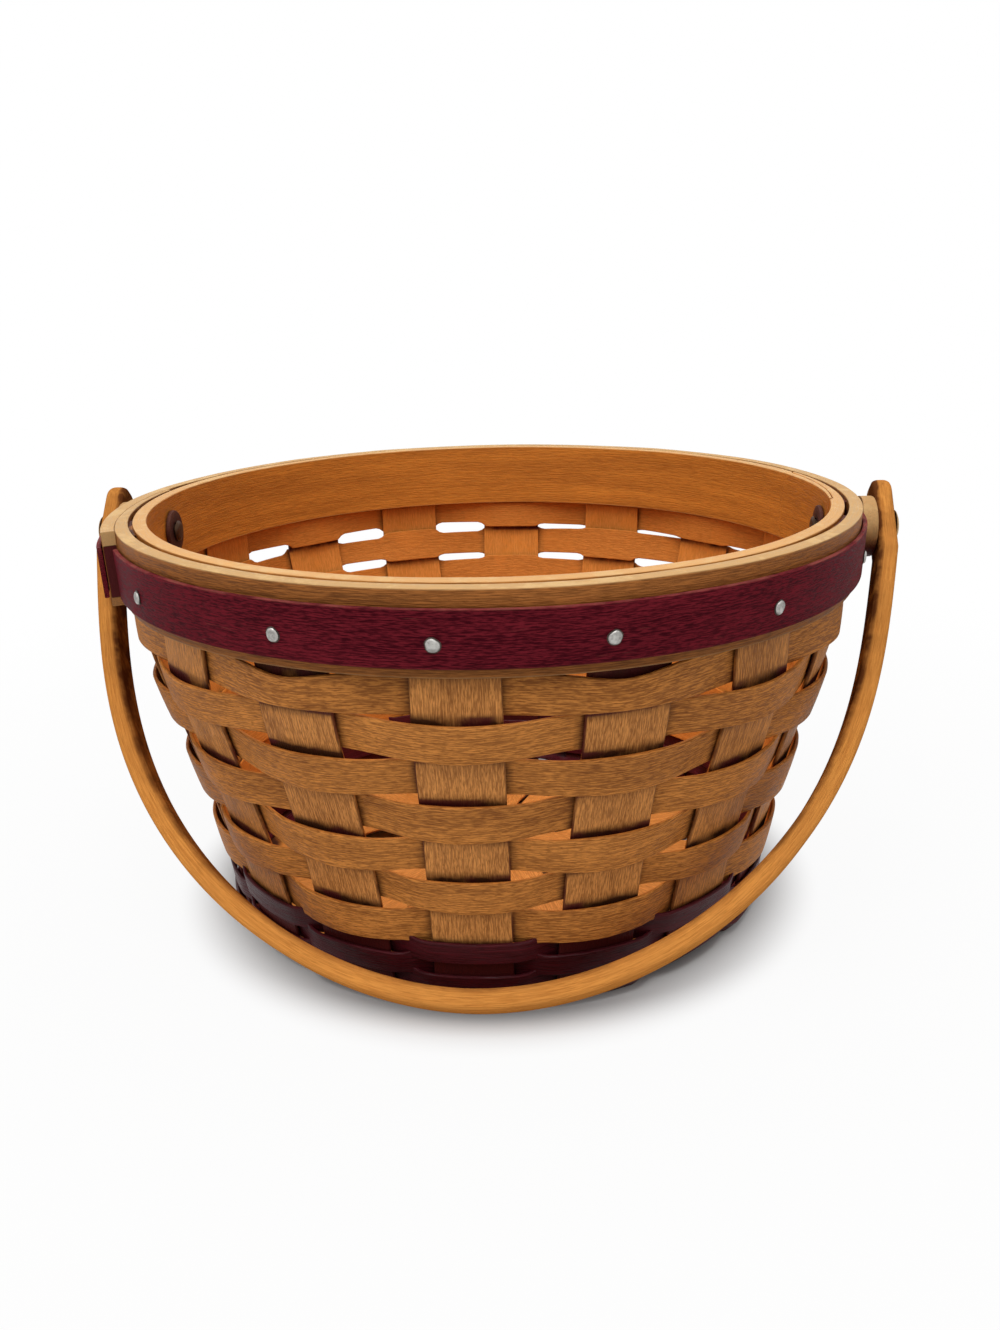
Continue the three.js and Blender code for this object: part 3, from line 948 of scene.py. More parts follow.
@dataclass(frozen=True)
class RowFit:
    """How the rows' edges meet round the wall, in mm; starts and runs are sines, 1 at the back."""

    back_start: float = -0.4
    back_run: float = 0.35
    open_start: float = 0.1
    open_run: float = 0.4
    facing_start: float = -0.75
    facing_run: float = 0.3
    lap_middle: float = 0.7
    lap_reach: float = 1.6
    lap_least: float = 0.35
    lap_base: float = 0.25
    lap_wide: float = 0.9
    lap_narrow: float = 1.5
    lap_lowest: float = 0.15
    slot_relief: float = 1.3
    slot_rise: float = 1.0
    slot_seat: float = 0.22
    slot_start: float = 0.46
    slot_run: float = 0.24
    upper_slot: float = 0.85
    upper_swing: float = 0.5
    upper_turn: float = 0.1
    upper_run: float = 0.15
    lower_slot: float = 0.7
    lower_swing: float = 0.65
    wedge_relief: float = 0.42
    wander: float = 0.14
    low_swings: tuple[tuple[int, float], ...] = ((3, 0.06), (8, 0.06), (19, 0.05))
    high_swings: tuple[tuple[int, float], ...] = ((4, 0.06), (7, 0.06), (17, 0.05))
    sags: tuple[tuple[float, float], ...] = ((246.5, 2.2), (291.5, 2.1), (203.0, 0.7), (336.0, 0.8))
    sag_reach: float = 11.0


@dataclass(frozen=True)
class Shades:
    """How dark the painted shade of the weave's crevices and hidden faces is: 0 in the open, 1 in a crevice,
    3 under dye; reaches in mm.
    """

    hidden_outer: float = 1.6
    hidden_inner: float = 1.2
    upright_reach: float = 1.7
    upright_power: float = 1.6
    upright_margin: float = 0.4
    inner_share: float = 0.45
    dyed: float = 3.0
    base_margin: float = 4.0
    base_outer: float = 0.3
    side_part: float = 0.98
    side: float = 0.85
    weaver_reach: float = 2.0
    weaver_power: float = 1.5
    weaver_inner_share: float = 0.5


@dataclass
class Weave:
    """The uprights and the weavers between them."""

    wall: WallShape
    fit: RowFit = RowFit()
    shades: Shades = Shades()
    splints: int = 8
    upright_width: float = 20.0
    upright_waist: float = 8.0
    upright_inset: float = 1.0
    upright_swings: tuple[tuple[int, float], ...] = ((7, 0.12), (13, 0.1))
    sector_gap: float = 0.6
    base_start: float = 2.0
    base_steps: int = 5
    corner_steps: int = 9
    wall_steps: int = 90
    amber_start: float = 10.0
    amber_run: float = 6.0
    base_amber: float = 0.5
    edge_margin: float = 0.3
    rows: int = 7
    narrow_rows: int = 5
    narrow_width: float = 4.6
    row_clearance: float = 0.6
    row_spread: float = 0.08
    row_bow: float = 0.12
    profile_samples: int = 9
    steps_per_pitch: int = 26
    corner: float = 0.34
    upright_grain: float = 31.0
    row_grain: float = 17.0

    @property
    def pitch(self) -> float:
        """Gives the angle from one upright to the next."""
        return math.pi / self.splints

    @property
    def weaver_start(self) -> float:
        """Gives the length along the profile where the wide rows start."""
        return self.wall.flat_radius + (self.narrow_rows - 1) * (self.narrow_width + self.row_clearance)

    def row_edge(self, part: float) -> float:
        """Gives the length along the profile at a part of the wide rows' height."""
        span = self.wall.length - self.wall.band_height - self.row_clearance - self.weaver_start
        sway = self.row_spread * math.sin(2 * math.pi * part) / (2 * math.pi)
        return self.weaver_start + span * (part - sway)

    def row_span(self, row: int) -> tuple[float, float]:
        """Gives a wide or narrow row's lower and upper edge.

        Args:
            row: The row's number from the top, the narrow ones counted on from the wide ones.

        Returns:
            The lengths along the profile of its edges.
        """
        if row <= self.rows:
            lower = self.row_edge((self.rows - row) / self.rows) + self.row_clearance / 2
            return lower, self.row_edge((self.rows - row + 1) / self.rows) - self.row_clearance / 2
        pitch = self.narrow_width + self.row_clearance
        middle = self.weaver_start - (row - self.rows - 0.5) * pitch
        return middle - self.narrow_width / 2, middle + self.narrow_width / 2

    def is_outside(self, row: int, upright: int) -> bool:
        """Tells whether a row passes outside an upright."""
        return (row + upright) % 2 == 0

    def build(self) -> None:
        """Builds every upright and row."""
        for number in range(1, self.splints + 1):
            skin = self.upright(number - 1)
            add_piece(f"upright_{number}", skin, UPRIGHT, Body.BASKET, f"upright_splint_{number}")
        for row in range(1, self.rows + self.narrow_rows + 1):
            if row <= self.rows:
                name, finish = f"weaver_row_{row}", SPLINT
            else:
                name, finish = f"base_weaver_row_{row - self.rows}", WINE_BASE
            add_piece(f"woven_{name}", self.weaver(row), finish, Body.BASKET, name)

    def upright(self, index: int) -> Skin:
        """Lofts one upright, from one rim across the base to the other.

        Args:
            index: Which splint, from 0.

        Returns:
            Its skin.
        """
        wall = self.wall
        slope = 2 * math.tan(self.pitch / 2)
        waist_radius = (self.upright_waist + self.sector_gap) / slope + 1
        full_radius = (self.upright_width + self.sector_gap) / slope
        top = wall.length - self.upright_inset
        half = np.concatenate([
            np.linspace(self.base_start, waist_radius, self.base_steps)[:-1],
            np.linspace(waist_radius, full_radius, self.base_steps)[:-1],
            np.linspace(full_radius, wall.flat_radius, self.base_steps)[:-1],
            np.linspace(wall.flat_radius, wall.corner_end, self.corner_steps)[:-1],
            np.linspace(wall.corner_end, top, self.wall_steps),
        ])
        station = np.concatenate([-half[::-1], half])
        point, normal = wall.at(np.abs(station))
        radius, height = point[:, 0], point[:, 1]
        side = np.sign(station)
        width = np.clip(slope * radius - self.sector_gap, self.upright_waist, self.upright_width)
        climb = np.clip((full_radius - radius) / (full_radius - waist_radius), 0, 1)
        lift = index * (wall.splint + wall.seat_gap) * smooth(climb)
        wander = wavy(len(station), 40 + index, self.upright_swings)
        width = width + wander * (np.abs(station) > full_radius)
        template = Section.rounded(7)
        across, through = template.spread_out(width, np.full(len(station), wall.splint), self.corner)
        round_part = np.maximum(normal[:, 0], 0)[:, None]
        sag = round_part * across ** 2 / (2 * radius[:, None])
        out = side[:, None] * (radius[:, None] - sag + through * normal[:, 0][:, None])
        direction = index * self.pitch
        points = np.stack([
            out * math.cos(direction) - across * math.sin(direction),
            out * math.sin(direction) + across * math.cos(direction),
            (height + lift)[:, None] + through * normal[:, 1][:, None],
        ], axis=-1)
        along = np.broadcast_to(station[:, None], across.shape)
        grain = np.stack([along, across, through + self.upright_grain * (index + 1)], axis=-1)
        # Painted shade in its crevices, and dye among the base rows:
        tuck = self.upright_shade_and_dye(index, station, across, through)
        # The whole inner face, not only its edges, takes the pale bare colour through the edge mask: in full
        # up the wall, half on the base.
        on_wall = ramp(np.abs(station), wall.flat_radius - self.amber_start, self.amber_run)[:, None]
        edge = np.where(through < 0, self.base_amber + (1 - self.base_amber) * on_wall, 0.0)
        return Skin(points, grain, edge, tuck)

    def upright_shade_and_dye(
        self, index: int, station: np.ndarray, across: np.ndarray, through: np.ndarray,
    ) -> np.ndarray:
        """Gives the painted shade of each point of an upright, darkest in crevices, on hidden faces and along
        its sides, and the dye over it among the base rows.

        Args:
            index: Which splint.
            station: Lengths along it from the middle of the base.
            across: Places across its width.
            through: Places through its thickness.

        Returns:
            The painted shade of each point, 3 where dye covers it.
        """
        shades = self.shades
        length = np.abs(station)
        outer = np.full(len(station), shades.hidden_outer)
        inner = np.full(len(station), shades.hidden_inner)
        for row in range(1, self.rows + self.narrow_rows + 1):
            lower, upper = self.row_span(row)
            within = (length >= lower - shades.upright_margin) & (length <= upper + shades.upright_margin)
            if row > self.rows:
                inner[within] = shades.dyed
                outer[within] = shades.dyed
                continue
            depth = np.minimum(length - lower, upper - length)
            tuck = np.clip(1 - depth / shades.upright_reach, 0, 1) ** shades.upright_power
            for sign in (1, -1):
                chosen = within & (np.sign(station) == sign)
                if self.is_outside(row, index if sign > 0 else index + self.splints):
                    inner[chosen] = tuck[chosen] * shades.inner_share
                else:
                    outer[chosen] = tuck[chosen]
        base = length < self.wall.flat_radius - shades.base_margin
        inner[base] = 0.0
        outer[base] = shades.base_outer
        tuck = np.where(through > 0, outer[:, None], inner[:, None])
        # Painted shade: dark outlines along the sides of the outer face.
        side_part = np.abs(across) / np.abs(across).max(axis=1, keepdims=True)
        is_side = (side_part > shades.side_part) & (through > 0)
        return np.where(is_side, np.maximum(tuck, shades.side), tuck)

    def weaver(self, row: int) -> Skin:
        """Lofts one row as a strip that closes behind an upright.

        Args:
            row: The row's number from the top.

        Returns:
            Its skin.
        """
        wall = self.wall
        lower, upper = self.row_span(row)
        samples, _ = wall.at(np.linspace(lower, upper, self.profile_samples))
        low, high = samples[0], samples[-1]
        along = (high - low) / np.linalg.norm(high - low)
        normal = np.array([along[1], -along[0]])
        swells = (samples - low) @ normal
        reach_out = wall.splint + wall.seat_gap + max(swells.max(), 0)
        reach_in = wall.splint + wall.seat_gap + max(-swells.min(), 0)
        is_wide = row <= self.rows
        spring = wall.bulge if is_wide else wall.narrow_bulge
        if row > self.rows + self.narrow_rows - 2:
            spring = 0.0
        grip = math.asin((self.upright_width / 2 + self.edge_margin) / low[0])
        count = 2 * self.splints
        knots: list[float] = []
        values: list[float] = []
        for upright in range(count):
            sign = 1 if self.is_outside(row, upright) else -1
            base = reach_out if sign > 0 else reach_in
            for part in (-1, 0, 1):
                knots.append(upright * self.pitch + part * grip)
                values.append(sign * (base + (spring if part == 0 else 0.0)))
        steps = count * self.steps_per_pitch
        angle = (np.arange(steps) + 0.5) * 2 * math.pi / steps
        offset = periodic_curve(np.array(knots), np.array(values), angle)
        low_cut, high_cut = self.row_relief(row, angle, offset)
        width = float(np.linalg.norm(high - low)) - low_cut - high_cut
        middle_shift = (low_cut - high_cut) / 2
        template = Section.rounded(5)
        across, through = template.spread_out(width, np.full(steps, wall.splint), self.corner)
        middle = (low + high) / 2
        bow = (self.row_bow if is_wide else 0.0) * (1 - (2 * across / width[:, None]) ** 2)
        level = across + middle_shift[:, None]
        stand = offset[:, None] + through + bow
        radius = middle[0] + level * along[0] + stand * normal[0]
        height = middle[1] + level * along[1] + stand * normal[1]
        turned = np.broadcast_to(angle[:, None], radius.shape)
        points = around(turned, radius, height)
        run = np.broadcast_to((angle * middle[0])[:, None], radius.shape)
        grain = np.stack([run, across, through + self.row_grain * row], axis=-1)
        # Painted shade where the row passes under the uprights:
        tuck = self.weaver_crevice_shade(row, angle, middle[0], through)
        # The whole inner face, not only its edges, takes the pale bare colour through the edge mask.
        edge = np.where(through < 0, 1.0, 0.0)
        return Skin(points, grain, edge, tuck, is_ring=True)

    def row_relief(self, row: int, angle: np.ndarray, offset: np.ndarray) -> tuple[np.ndarray, np.ndarray]:
        """Gives how much narrower a row is than its share of the wall, at its edges.

        Args:
            row: The row's number.
            angle: Angles round the wall.
            offset: How far out the row passes there.

        Returns:
            What is missing at its lower and its upper edge, below 0 where it laps its neighbours.
        """
        fit = self.fit
        sine, cosine = np.sin(angle), np.cos(angle)
        back = ramp(sine, fit.back_start, fit.back_run)
        front_lap = np.clip(fit.lap_middle - offset / fit.lap_reach, fit.lap_least, 1)
        back_lap = np.clip(fit.lap_middle + offset / fit.lap_reach, fit.lap_least, 1)
        lap = front_lap * (1 - back) + back_lap * back
        tight = -fit.lap_base - (fit.lap_narrow if row >= self.rows else fit.lap_wide) * lap
        if row > self.rows:
            lowest = np.full(len(angle), -fit.lap_lowest)
            return tight if row < self.rows + self.narrow_rows - 1 else lowest, tight
        between = np.sin(self.splints * angle) ** 2
        open_part = ramp(sine, fit.open_start, fit.open_run)
        lens = smooth(ramp(between, fit.slot_start, fit.slot_run))
        upper = fit.upper_slot - fit.upper_swing * np.tanh((cosine - fit.upper_turn) / fit.upper_run)
        lower = fit.lower_slot + fit.lower_swing * np.abs(cosine)
        upper_slot = (fit.slot_relief * upper * lens - fit.slot_seat) * open_part
        lower_slot = (fit.slot_relief * lower * lens - fit.slot_seat) * open_part
        raised = fit.slot_rise * open_part
        facing = 1 - ramp(sine, fit.facing_start, fit.facing_run)
        closed = tight * (1 - facing)
        shut = closed * (1 - open_part)
        wedge = fit.wedge_relief * between * facing
        lows = {1: upper_slot + raised + shut, 2: lower_slot + raised + shut}
        highs = {2: upper_slot - raised + shut, 3: lower_slot - raised + shut}
        low = facing * (fit.wander + wavy(len(angle), 100 + row, fit.low_swings)) + lows.get(row, closed)
        high = facing * (fit.wander + wavy(len(angle), 200 + row, fit.high_swings)) + highs.get(row, closed)
        if row > 1:
            low = low + wedge
        if row > 2:
            high = high + wedge
        if row == self.rows:
            low = tight
        if row == 1:
            high = np.zeros(len(angle))
            for degrees, depth in fit.sags:
                away = (angle - math.radians(degrees)) * self.wall.rim_diameter / 2
                high += depth * np.exp(-(away / fit.sag_reach) ** 2)
        return low, high

    def weaver_crevice_shade(self, row: int, angle: np.ndarray, radius: float, through: np.ndarray) -> np.ndarray:
        """Gives the painted shade of each point of a row, darkest where it passes under an upright.

        Args:
            row: The row's number.
            angle: Angles of its sections.
            radius: The row's middle radius.
            through: Places through its thickness.

        Returns:
            The shade of each point.
        """
        shades = self.shades
        outer = np.full(len(angle), math.inf)
        inner = np.full(len(angle), math.inf)
        for upright in range(2 * self.splints):
            gap = np.abs((angle - upright * self.pitch + math.pi) % (2 * math.pi) - math.pi)
            away = gap * radius - self.upright_width / 2
            if self.is_outside(row, upright):
                inner = np.minimum(inner, away)
            else:
                outer = np.minimum(outer, away)
        outer_shade, inner_shade = (
            np.clip(1 - away / shades.weaver_reach, 0, 1) ** shades.weaver_power for away in (outer, inner)
        )
        return np.where(through > 0, outer_shade[:, None], shades.weaver_inner_share * inner_shade[:, None])


def periodic_curve(knots: np.ndarray, values: np.ndarray, places: np.ndarray) -> np.ndarray:
    """Runs a smooth closed curve through values at angles.

    Args:
        knots: Rising angles within one turn.
        values: The values there.
        places: The angles to read.

    Returns:
        The curve's values.
    """
    turn = 2 * math.pi
    wide_knots = np.concatenate([knots - turn, knots, knots + turn])
    wide_values = np.tile(values, 3)
    rises = np.diff(wide_values) / np.diff(wide_knots)
    before, after = np.concatenate([rises[:1], rises]), np.concatenate([rises, rises[-1:]])
    total = np.where(np.abs(before + after) < 1e-9, 1.0, before + after)
    slopes = np.where(before * after > 0, 2 * before * after / total, 0.0)
    index = np.clip(np.searchsorted(wide_knots, places) - 1, 0, len(wide_knots) - 2)
    span = wide_knots[index + 1] - wide_knots[index]
    t = (places - wide_knots[index]) / span
    start, end = wide_values[index], wide_values[index + 1]
    lead, tail = slopes[index] * span, slopes[index + 1] * span
    return (
        (2 * t ** 3 - 3 * t ** 2 + 1) * start
        + (t ** 3 - 2 * t ** 2 + t) * lead
        + (3 * t ** 2 - 2 * t ** 3) * end
        + (t ** 3 - t ** 2) * tail
    )


# The rim


@dataclass
class Rim:
    """The inner band, the outer band with its lap, the dyed trim and its tacks, in mm and degrees."""

    wall: WallShape
    inner_drop: float = 0.6
    trim_width: float = 13.2
    trim_thickness: float = 1.2
    trim_below_rim: float = 3.9
    scarf_edge: float = 0.7
    draw_in: float = 0.25
    lap_start: float = 172.0
    lap_ramp: float = 18.0
    lap_scarf: float = 33.0
    lap_end: float = 206.0
    trim_start: float = 208.0
    scarf_end: float = -6.0
    scarf_sweep: float = 26.0
    step_degrees: float = 1.5
    end_step: float = 0.1
    end_margins: tuple[float, float] = (0.8, 0.0)
    end_insets: tuple[float, float] = (0.2, 0.5)
    corner: float = 0.3
    swings: tuple[tuple[int, float], ...] = ((2, 0.1), (5, 0.08), (11, 0.06))
    low_shade_run: float = 4.0
    hidden_face_shade: float = 1.6
    hidden_run: float = 6.0
    hidden_least: float = 0.15
    top_turn: float = 0.5
    edge_rub: float = 0.3
    strip_grain: float = 13.0
    tack_angles: tuple[float, ...] = (220, 248, 268, 289, 313, 344, 25, 47, 70, 92, 113)
    tack_below_rim: float = 11.6
    tack_head: float = 3.1
    tack_rise: float = 0.6
    tack_shank: float = 1.4
    tack_point: float = 1.2
    tack_sides: int = 20
    tack_swings: tuple[tuple[int, float], ...] = ((2, 0.07), (3, 0.05), (5, 0.03))
    tack_spread: float = 1.03

    def __post_init__(self) -> None:
        """Works out the rim's straight lean and the faces of its layers."""
        ends, _ = self.wall.at(np.array([self.wall.length - self.wall.band_height, self.wall.length]))
        self.thickness = self.wall.band_thickness
        self.top = ends[1]
        self.down = (ends[0] - ends[1]) / np.linalg.norm(ends[0] - ends[1])
        self.normal = np.array([-self.down[1], self.down[0]])
        self.clear = self.wall.splint / 2 + self.wall.seat_gap
        self.trim_back = self.clear + self.thickness + self.wall.seat_gap
        self.trim_face = self.trim_back + self.trim_thickness

    def place(self, drop: Numbers, offset: Numbers) -> tuple[Numbers, Numbers]:
        """Gives a place on the rim.

        Args:
            drop: How far down from the rim.
            offset: How far out from the middle of the uprights.

        Returns:
            Its radius and its height.
        """
        return (
            self.top[0] + drop * self.down[0] + offset * self.normal[0],
            self.top[1] + drop * self.down[1] + offset * self.normal[1],
        )

    def face_at(self, height: float, offset: float) -> float:
        """Gives the radius of the face at an offset, at a height."""
        drop = (height - self.place(0, offset)[1]) / self.down[1]
        return float(self.place(drop, offset)[0])

    def lap_thickness(self, degrees: Numbers) -> Numbers:
        """Gives the outer band's thickness where it starts under its own end."""
        part = ramp(degrees, self.lap_start, self.lap_scarf)
        return self.scarf_edge + (self.thickness - self.scarf_edge) * part

    def lap_shift(self, degrees: Numbers) -> Numbers:
        """Gives how far the lapped end stands out at angles."""
        climb = smooth(ramp(degrees, self.lap_start - self.lap_ramp, self.lap_ramp))
        return climb * (self.lap_thickness(degrees) + self.wall.seat_gap)

    def strip(
        self,
        degrees: np.ndarray,
        shift: np.ndarray,
        drops: tuple[float, float],
        inside: np.ndarray,
        outside: np.ndarray,
        seed: int,
        facing: int,
        low_edge_shade: float,
        end_dye_and_shade: float = 0.0,
    ) -> Skin:
        """Lofts a strip round the rim.

        Args:
            degrees: Angles of its sections.
            shift: How far each stands out.
            drops: Its top and bottom edge, down from the rim.
            inside: The offset of its inner face at each section.
            outside: The offset of its outer face at each section.
            seed: The seed of its grain and wander.
            facing: 1 if its outer face shows, -1 if its inner face does.
            low_edge_shade: How much painted shade lies along the lower edge of that face.
            end_dye_and_shade: How much dye and painted shade lie on the end of the strip, as high as the
                trim.

        Returns:
            Its skin.
        """
        count = len(degrees)
        template = Section.rounded(7, 4)
        width = np.full(count, drops[1] - drops[0])
        middle = np.full((count, 1), (drops[0] + drops[1]) / 2)
        thickness = outside - inside
        if end_dye_and_shade:
            width[-2:] = self.trim_width + np.array(self.end_margins)
            middle[-2:] = self.trim_below_rim + self.trim_width / 2
            thickness[-2:] -= np.array(self.end_insets)
        across, through = template.spread_out(width, thickness, self.corner)
        wander = wavy(count, seed, self.swings)[:, None]
        top_side = 0.5 + across / width[:, None]
        drop = middle - across + np.abs(wander) * top_side
        offset = ((inside + outside) / 2)[:, None] + through
        radius, height = self.place(drop, offset)
        angle = np.broadcast_to(np.radians(degrees)[:, None], radius.shape)
        points = around(angle, radius + shift[:, None], height)
        grain = np.stack([angle * self.top[0], across, through + self.strip_grain * seed], axis=-1)
        # Painted shade: darker towards the lower edge of the face that shows, and over the hidden face,
        # growing from its top.
        low = ramp(drop, drops[1] - self.low_shade_run, self.low_shade_run) ** 2
        hidden = self.hidden_face_shade * np.clip((drop - drops[0]) / self.hidden_run, self.hidden_least, 1)
        is_top = template.turn_across > self.top_turn
        tuck = np.where(facing * through > 0, low_edge_shade * low, hidden)
        tuck = np.where(is_top, 0.0, tuck)
        # The strip's end is cleared; the outer band's end face then takes dye with painted shade, standing
        # for the shadowed gap behind its lapped end.
        tuck[-3 if end_dye_and_shade else -1:] = 0.0
        tuck[-1] = end_dye_and_shade
        # The whole top face takes the full pale bare colour through the edge mask; the other corners take a
        # little.
        edge = np.where(is_top, 1.0, self.edge_rub * template.edge) + 0 * radius
        return Skin(points, grain, edge, tuck)

    def lapped(self, start: float) -> tuple[np.ndarray, np.ndarray]:
        """Gives the angles of a strip that ends over the left lap.

        Args:
            start: The angle where it starts.

        Returns:
            The angles, and how far the strip stands out at each.
        """
        end = 360 + self.lap_end
        degrees = np.linspace(start, end, int((end - start) / self.step_degrees))
        degrees = np.append(degrees[:-1], [end - self.end_step, end])
        return degrees, self.lap_shift(degrees - 360)

    def build(self) -> None:
        """Builds the bands, the trim and the tacks."""
        add_piece("rim_inner_band", self.inner_band(), INNER_BAND, Body.BASKET, "inner_band")
        add_piece("rim_outer_band", self.outer_band(), BAND, Body.BASKET, "outer_band")
        add_piece("rim_trim_strip", self.trim(), BURGUNDY, Body.BASKET, "trim_strip")
        for number, degrees in enumerate(self.tack_angles, start=1):
            skin = self.tack(number, degrees)
            add_piece(f"rim_tack_{number}", skin, TACK_STEEL, Body.BASKET, f"tack_{number}")

    def inner_band(self) -> Skin:
        """Lofts the inner band, whose ends are scarfed over each other at the right.

        Returns:
            Its skin.
        """
        sweep = 360 + self.scarf_sweep
        turned = np.linspace(0, sweep, int(sweep / self.step_degrees))
        depth = self.thickness - 2 * self.scarf_edge - self.wall.seat_gap
        rise = np.minimum(turned / self.scarf_sweep, 1)
        fall = np.minimum((sweep - turned) / self.scarf_sweep, 1)
        inside = -self.clear - np.where(rise < 1, self.scarf_edge + rise * depth, self.thickness)
        thin = np.where(fall < 1, self.scarf_edge + fall * depth, self.thickness)
        outside = -self.clear - self.thickness + thin + np.where(fall < 1, 0, self.draw_in)
        degrees = self.scarf_end + self.scarf_sweep - turned
        drops = (0.0, self.wall.band_height + self.inner_drop)
        return self.strip(
            degrees, 0 * degrees, drops, inside, outside, seed=5, facing=-1, low_edge_shade=0.15,
        )

    def outer_band(self) -> Skin:
        """Lofts the outer band, lapped over its own start at the left, with a face set in its end that is
        painted with dye and painted shade.

        Returns:
            Its skin.
        """
        degrees, shift = self.lapped(self.lap_start)
        degrees, shift = np.append(degrees, degrees[[-1, -1]]), np.append(shift, shift[[-1, -1]])
        inside = np.full(len(degrees), self.clear - self.draw_in)
        outside = self.clear + self.lap_thickness(degrees)
        drops = (0.0, self.wall.band_height)
        return self.strip(
            degrees, shift, drops, inside, outside, seed=6, facing=1, low_edge_shade=0.45, end_dye_and_shade=3.0,
        )

    def trim(self) -> Skin:
        """Lofts the dyed trim, which ends over the outer band's lap.

        Returns:
            Its skin.
        """
        degrees, shift = self.lapped(self.trim_start)
        inside = np.full(len(degrees), self.trim_back)
        outside = inside + self.trim_thickness
        drops = (self.trim_below_rim, self.trim_below_rim + self.trim_width)
        return self.strip(degrees, shift, drops, inside, outside, seed=7, facing=1, low_edge_shade=0.25)

    def tack(self, number: int, degrees: float) -> Skin:
        """Turns one tack with an uneven, slightly domed head.

        Args:
            number: Its number, which seeds its shape.
            degrees: Its angle round the rim.

        Returns:
            Its skin.
        """
        head, shank = self.tack_head / 2, self.tack_shank / 2
        length = self.trim_thickness + self.wall.seat_gap + self.thickness
        # The thin flange just under the head is a dark ring, dirt and painted shadow round the head.
        profile = [
            (0.05, -length), (shank, -length + self.tack_point), (shank, -0.1), (1.14 * head, -0.1),
            (1.16 * head, 0.0), (0.93 * head, 0.02), (head, 0.14), (0.97 * head, 0.32),
            (0.8 * head, 0.47), (0.45 * head, 0.57), (0.04, self.tack_rise),
        ]
        angle = math.radians(degrees)
        radius, height = self.place(self.tack_below_rim, self.trim_face + self.wall.seat_gap / 2)
        centre = np.array([radius * math.cos(angle), radius * math.sin(angle), height])
        axis = np.array([self.normal[0] * math.cos(angle), self.normal[0] * math.sin(angle), self.normal[1]])
        uneven = np.minimum(1 + wavy(self.tack_sides, 300 + number, self.tack_swings), self.tack_spread)
        return turned_skin(profile, centre, axis, uneven, seed=number)


TURNED_GRAIN = 23.0
TURNED_RUB = 0.75
# The value below darkens the lower half of each turned piece with its tarnish: under a tack's head it makes a
# dark ring that stands for the dirt and the shadow round the head, and on a rivet it darkens the shank and
# the clinched end.
TURNED_LOW_DARK = 2.0


def turned_skin(
    profile: Profile, centre: np.ndarray, axis: np.ndarray, uneven: np.ndarray, seed: int,
) -> Skin:
    """Turns a profile round an axis.

    Args:
        profile: Radii and places along the axis, from one closed end to the other.
        centre: The axis's origin.
        axis: The axis's direction.
        uneven: How each point of a ring scales the radius, one for each of its sides.
        seed: The seed of its grain.

    Returns:
        Its skin.
    """
    axes = np.array(Vector((0, 0, 1)).rotation_difference(Vector(axis)).to_matrix())
    turn = np.linspace(0, 2 * math.pi, len(uneven), endpoint=False)
    radii = np.array([radius for radius, _ in profile])
    places = np.array([place for _, place in profile])
    local = np.stack([
        radii[:, None] * np.cos(turn) * uneven,
        radii[:, None] * np.sin(turn) * uneven,
        np.broadcast_to(places[:, None], (len(profile), len(uneven))),
    ], axis=-1)
    points = local @ axes.T + centre
    grain = local + np.array([0.0, 0.0, TURNED_GRAIN * seed])
    reach = radii / radii.max()
    high = places > np.median(places)
    edge = np.broadcast_to((TURNED_RUB * reach ** 3 * high)[:, None], points.shape[:2])
    tuck = np.broadcast_to(np.where(high, 0.0, TURNED_LOW_DARK)[:, None], points.shape[:2])
    return Skin(points, grain, edge, tuck)


# The handle and its pivots

PINCH_PEAK = 27 / 256


@dataclass(frozen=True)
class LegShadeAndStain:
    """The painted shade of the handle's legs, darkest on their inner faces, and their stains near the pivots;
    reaches in mm.
    """

    pivot_part: float = 0.2
    pivot_reach: float = 16.0
    leg_top: float = 1.15
    leg_part: float = 0.8
    face_start: float = 1.0
    face_run: float = 0.8
    inner: float = 0.6
    inner_pivot: float = 0.4
    inner_leg: float = 1.2
    outer_pivot: float = 0.25
    outer_leg: float = 0.4


